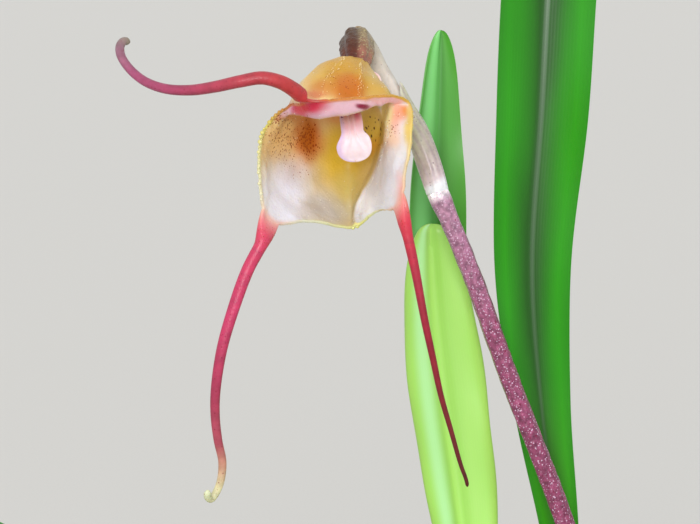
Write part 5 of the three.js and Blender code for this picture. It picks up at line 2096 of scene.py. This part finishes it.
@dataclass
class FlowerHeart:
    """What stands inside the cup: the column, a petal on each side of it, and the lip below."""

    column_line: Points = ((-0.3, 0.4, -1.2), (0.1, -1.4, -3.1), (0.8, -3, -4.6), (1.3, -4.3, -5.7))
    lip_line: Points = (
        (-1.1, -3.4, -6), (-1.2, -5.3, -6.7), (-1, -6.7, -8), (-0.8, -7.9, -9.7), (-0.65, -7.9, -11.2),
        (-0.55, -7.1, -12.5),
    )
    petal_bends: Points = ((0.9, -0.2, -2.4), (1.9, -2, -3.5), (2.1, -3.7, -4.6), (1.7, -5, -5.5))
    petal_middle: float = 0.5

    def build_column(self) -> Piece:
        """Builds the column with its rounded anther cap.

        Returns:
            The column.
        """
        sweep = Sweep(from_flower(self.column_line))

        def surface(turn: Array, along: Array) -> Array:
            """The column's skin."""
            bulge = 0.3 * np.sin(np.pi * along) - 0.35 * ease(along, 0.85, 1)
            cap = 0.12 * hump(along, 0.86, 0.05)
            tip = blunted(1 - along, 0.08)
            hollow = 1 - 0.16 * hump((turn - 0.25) % 1, 0.5, 0.1) * ease(along, 0.4, 0.7)
            return sweep.around(along, turn, (1.02 + bulge + cap) * tip * hollow)

        return laid_grid("anther_column", 48, 60, surface, {
            "paint": lambda turn, along: painted(
                ((0, "#e8b9c4"), (0.55, "#efc3cf"), (0.78, "#e39ab0"), (0.84, "#f6e6c8"), (1, "#f4dfa8")), along),
            "dots": lambda turn, along: 0.55 * ease(along, 0.2, 0.6),
        })

    def build_petal(self, name: str, side: int) -> Piece:
        """Builds one small petal beside the column.

        Args:
            name: Its name.
            side: 1 for the right one, -1 for the left one.

        Returns:
            The petal.
        """
        bends = [(self.petal_middle + side * x, y, z) for x, y, z in self.petal_bends]
        sweep = Sweep(from_flower(bends), UP)

        def surface(turn: Array, along: Array) -> Array:
            """The petal's skin, thickest and warty at its end."""
            angle = 2 * np.pi * turn
            tip = blunted(1 - along, 0.1) * blunted(along, 0.06, 0.01)
            width = 0.3 + 0.12 * ease(along, 0.6, 0.9)
            height = 0.32 + 0.72 * np.sin(np.pi * np.clip(0.12 + along, 0, 1)) ** 0.8
            places = sweep.beside(along, width * tip * np.cos(angle), height * tip * np.sin(angle))
            warts = 0.09 * np.clip(wobble(places, 0.35), 0, 1) * ease(along, 0.6, 0.85)
            return sweep.beside(along, (width + warts) * tip * np.cos(angle), (height + warts) * tip * np.sin(angle))

        return laid_grid(name, 36, 48, surface, {
            "paint": lambda turn, along: painted(((0, "#eebfc8"), (0.6, "#f2d2c8"), (1, "#e7c779")), along),
            "dots": lambda turn, along: 0.6 * ease(along, 0.3, 0.8),
        })

    def build_lip(self) -> Piece:
        """Builds the lip: a channelled claw, then a hollowed spoon of three lobes with low spreading ridges.

        Returns:
            The lip.
        """
        sweep = Sweep(from_flower(self.lip_line))

        def surface(turn: Array, along: Array) -> Array:
            """The lip's skin, over its face and back beneath it, with rows crowded at its tip."""
            q, t = there_and_back(turn), np.sin(np.pi / 2 * along)
            spoon = ease(t, 0.54, np.where(q > 0, 0.68, 0.78))
            bowl = 2.17 * np.sqrt(np.clip(1 - ((t - 0.77) / 0.23) ** 2, 0.0001, 1))
            w = lerp(lerp(1.12, 1.38, ease(t, 0, 0.4)), bowl, spoon)
            hollow = (0.4 * spoon + 0.3 * (1 - spoon)) * q * q
            angle = np.arctan2(q * w, 6.4 * (t - 0.52))
            ridges = 0.05 * spoon * np.cos(13 * angle) * ease(np.abs(q), 1.0, 0.75)
            keel = 0.16 * hump(np.abs(q), 0.22, 0.1) * (1 - ease(t, 0.6, 0.85))
            edge = np.sqrt(np.clip(1 - np.abs(q) ** 7, 0, 1))
            ends = blunted(1 - t, 0.03, 0) * blunted(t, 0.03, 0.01)
            face = hollow + (ridges + keel) * ends
            under = lerp(0.75, 0.6, spoon) * edge * ends + (ridges + keel) * ends * 0.6
            return sweep.beside(t, -q * w * lerp(0.95, 1, ends), face - np.where(turn < 0.5, 0, under))

        def colour(turn: Array, along: Array) -> Array:
            """Peach-pink, whiter down the spoon, lilac along its left edge and rosy on the claw's right."""
            q, t = there_and_back(turn), np.sin(np.pi / 2 * along)
            ground = painted(((0, "#dc98a8"), (0.3, "#e9b6b4"), (0.5, "#eabcc6"), (0.62, "#ecd0d8"), (1, "#eed8dc")), t)
            rose = 0.8 * hump(q, 0.6, 0.3) * ease(-t, -0.5, -0.3)
            lilac = 0.8 * ease(-q, 0.5, 0.95)
            return lerp(lerp(ground, linear("#dd5c86"), rose[:, None]), linear("#cfb2d8"), lilac[:, None])

        def dots(turn: Array, along: Array) -> Array:
            """Purple points along the claw's left edge."""
            return 0.8 * hump(there_and_back(turn), -0.7, 0.35) * ease(-along, -0.36, -0.16)

        return laid_grid("lip_spoon", 84, 110, surface, {"paint": colour, "dots": dots})


@dataclass
class Flower:
    """The flower: its sepal cup with three tails, and the heart inside."""

    stalk: FlowerStalk

    def build_and_dress(self) -> None:
        """Builds every piece of the flower and gives it its finish."""
        cup = SepalCup(self.stalk)
        shell, turns = cup.build()
        # Thick, watery and half see-through, its gloss dulled by small papillae
        sepal = Flesh(
            "fleshy sepal", roughness=0.36, glow=0.55, depth=1.8, papilla=0.36, mottling=0.05, freckle=0.36,
            freckles="#9a4418", fleck=0.42, flecks="#5a3610")
        settle(shell, sepal.make(), Slot.SEPAL, "sepal_cup")
        # Clear round cells that glisten, the wettest looking thing on the plant
        beads = Flesh("glistening papilla", roughness=0.2, glow=0.5, papilla=0.3, relief=0.2, mottle=2.0, mottling=0.05)
        settle(cup.build_beads(), beads.make(), Slot.SEPAL)
        # Smooth firm flesh, with one soft highlight along it
        firm = Flesh(
            "sepal tail", glow=0.28, depth=1.0, papilla=0.3, mottle=1.3, mottling=0.16, freckle=0.45,
            freckles="#7c1230")
        crimson = firm.make()
        for tail, tail_turns in zip(TAILS, turns):
            settle(tail.build(tail_turns), crimson, Slot.TAIL, f"tail_{tail.name}")
        heart = FlowerHeart()
        # Soft waxy flesh with purple points
        petal = Flesh(
            "column and petal", roughness=0.4, glow=0.35, depth=1.0, papilla=0.25, mottle=1.2, mottling=0.1,
            freckle=0.4, freckles="#8a1f4a")
        blush = petal.make()
        settle(heart.build_column(), blush, Slot.COLUMN, "column")
        for name, side in (("left", -1), ("right", 1)):
            settle(heart.build_petal(f"small_petal_{name}", side), blush, Slot.COLUMN, f"petal_{name}")
        # Pale, tender flesh that spreads light inside it
        lip = Flesh(
            "soft lip", roughness=0.38, glow=0.42, depth=1.4, papilla=0.28, relief=0.4, mottle=1.6, mottling=0.05,
            freckle=0.4, freckles="#7d2a6a")
        settle(heart.build_lip(), lip.make(), Slot.LIP, "lip")


# Studio


@dataclass
class Studio:
    """A plain pale floor, soft even light, and the camera at the photograph's angle."""

    target: Triple = (-24.4, -14.0, 196.0)
    elevation: float = 7.0
    distance: float = 350.0
    lens: float = 144.0
    sensor: float = 36.0
    floor_side: float = 40.0  # metres, so that no edge shows behind the plant
    floor_colour: str = "#d5d4d0"
    floor_tooth: str = "#d8d7d3"
    tooth_scale: float = 900.0  # lumps of about 1.1 mm, coarser than paper's own so that they show
    sky_strength: float = 0.78
    sun_strength: float = 2.4
    sun_softness: float = 24.0  # degrees across
    sun_turn: Triple = (76.0, 0.0, -4.0)

    def build_floor(self) -> None:
        """Lays the floor."""
        floor = primitive("plane", "floor", size=self.floor_side)
        material, node = bare_finish("matt paper floor", Roughness=0.9)
        space = node("TexCoord", "Object")
        tooth = node("TexNoise", Vector=space, Scale=self.tooth_scale, Detail=3.0)
        paper = node("ValToRGB", Fac=tooth, stops=[(0.3, self.floor_colour), (0.7, self.floor_tooth)])
        wear(material, paper, tooth, 0.05, 0.1)
        floor.data.materials.append(material)

    def build_lights(self) -> None:
        """Sets an even sky and one soft sun from the upper left of the view."""
        world = bpy.data.worlds.new("studio")
        world.use_nodes = True
        sky = world.node_tree.nodes["Background"]
        sky.inputs["Color"].default_value = (1.0, 1.0, 1.0, 1.0)
        sky.inputs["Strength"].default_value = self.sky_strength
        bpy.context.scene.world = world
        sun = bpy.data.lights.new("soft sun", "SUN")
        sun.energy = self.sun_strength
        sun.angle = math.radians(self.sun_softness)
        linked("soft sun", sun).rotation_euler = Euler([math.radians(angle) for angle in self.sun_turn])

    def build_camera(self) -> None:
        """Places the camera, which looks along +Y and a little down."""
        tilt = math.radians(self.elevation)
        data = bpy.data.cameras.new("view")
        data.lens, data.sensor_width = self.lens, self.sensor
        data.clip_start, data.clip_end = 0.01, 2 * self.floor_side
        camera = linked("view", data)
        back = Vector((0, -math.cos(tilt), math.sin(tilt)))
        camera.location = (Vector(self.target) + self.distance * back) * MM
        camera.rotation_euler = (math.pi / 2 - tilt, 0, 0)
        bpy.context.scene.camera = camera

    def build(self) -> None:
        """Builds the whole studio, and keeps colours as they are painted."""
        self.build_camera()
        self.build_floor()
        self.build_lights()
        bpy.context.scene.view_settings.view_transform = "Standard"


def main() -> None:
    """Builds the potted orchid from the pot up, then the studio."""
    logging.basicConfig(level=logging.INFO, format="%(name)s: %(message)s")
    Studio().build()
    pot = Pot()
    pot.dress(pot.build())
    tuft = Tuft()
    stalk = FlowerStalk()
    medium = GrowingMedium(pot, [*(shoot.foot for shoot in tuft.shoots), stalk.line[0][:2]])
    medium.dress(medium.build(), medium.litter())
    leaves = [tuft.build_leaf(shoot) for shoot in tuft.shoots]
    sheaths = [tuft.build_sheath(shoot, i) for i, shoot in enumerate(tuft.shoots)]
    tuft.dress(leaves, tuft.build_stems(), sheaths)
    bracts = [stalk.build_bract(f"{place}_bract", start, end) for place, start, end in stalk.small_bracts]
    stalk.dress(stalk.build_stalk(), bracts, stalk.build_floral_bract(), stalk.build_pedicel(), stalk.build_ovary())
    Flower(stalk).build_and_dress()


if __name__ == "__main__":
    main()
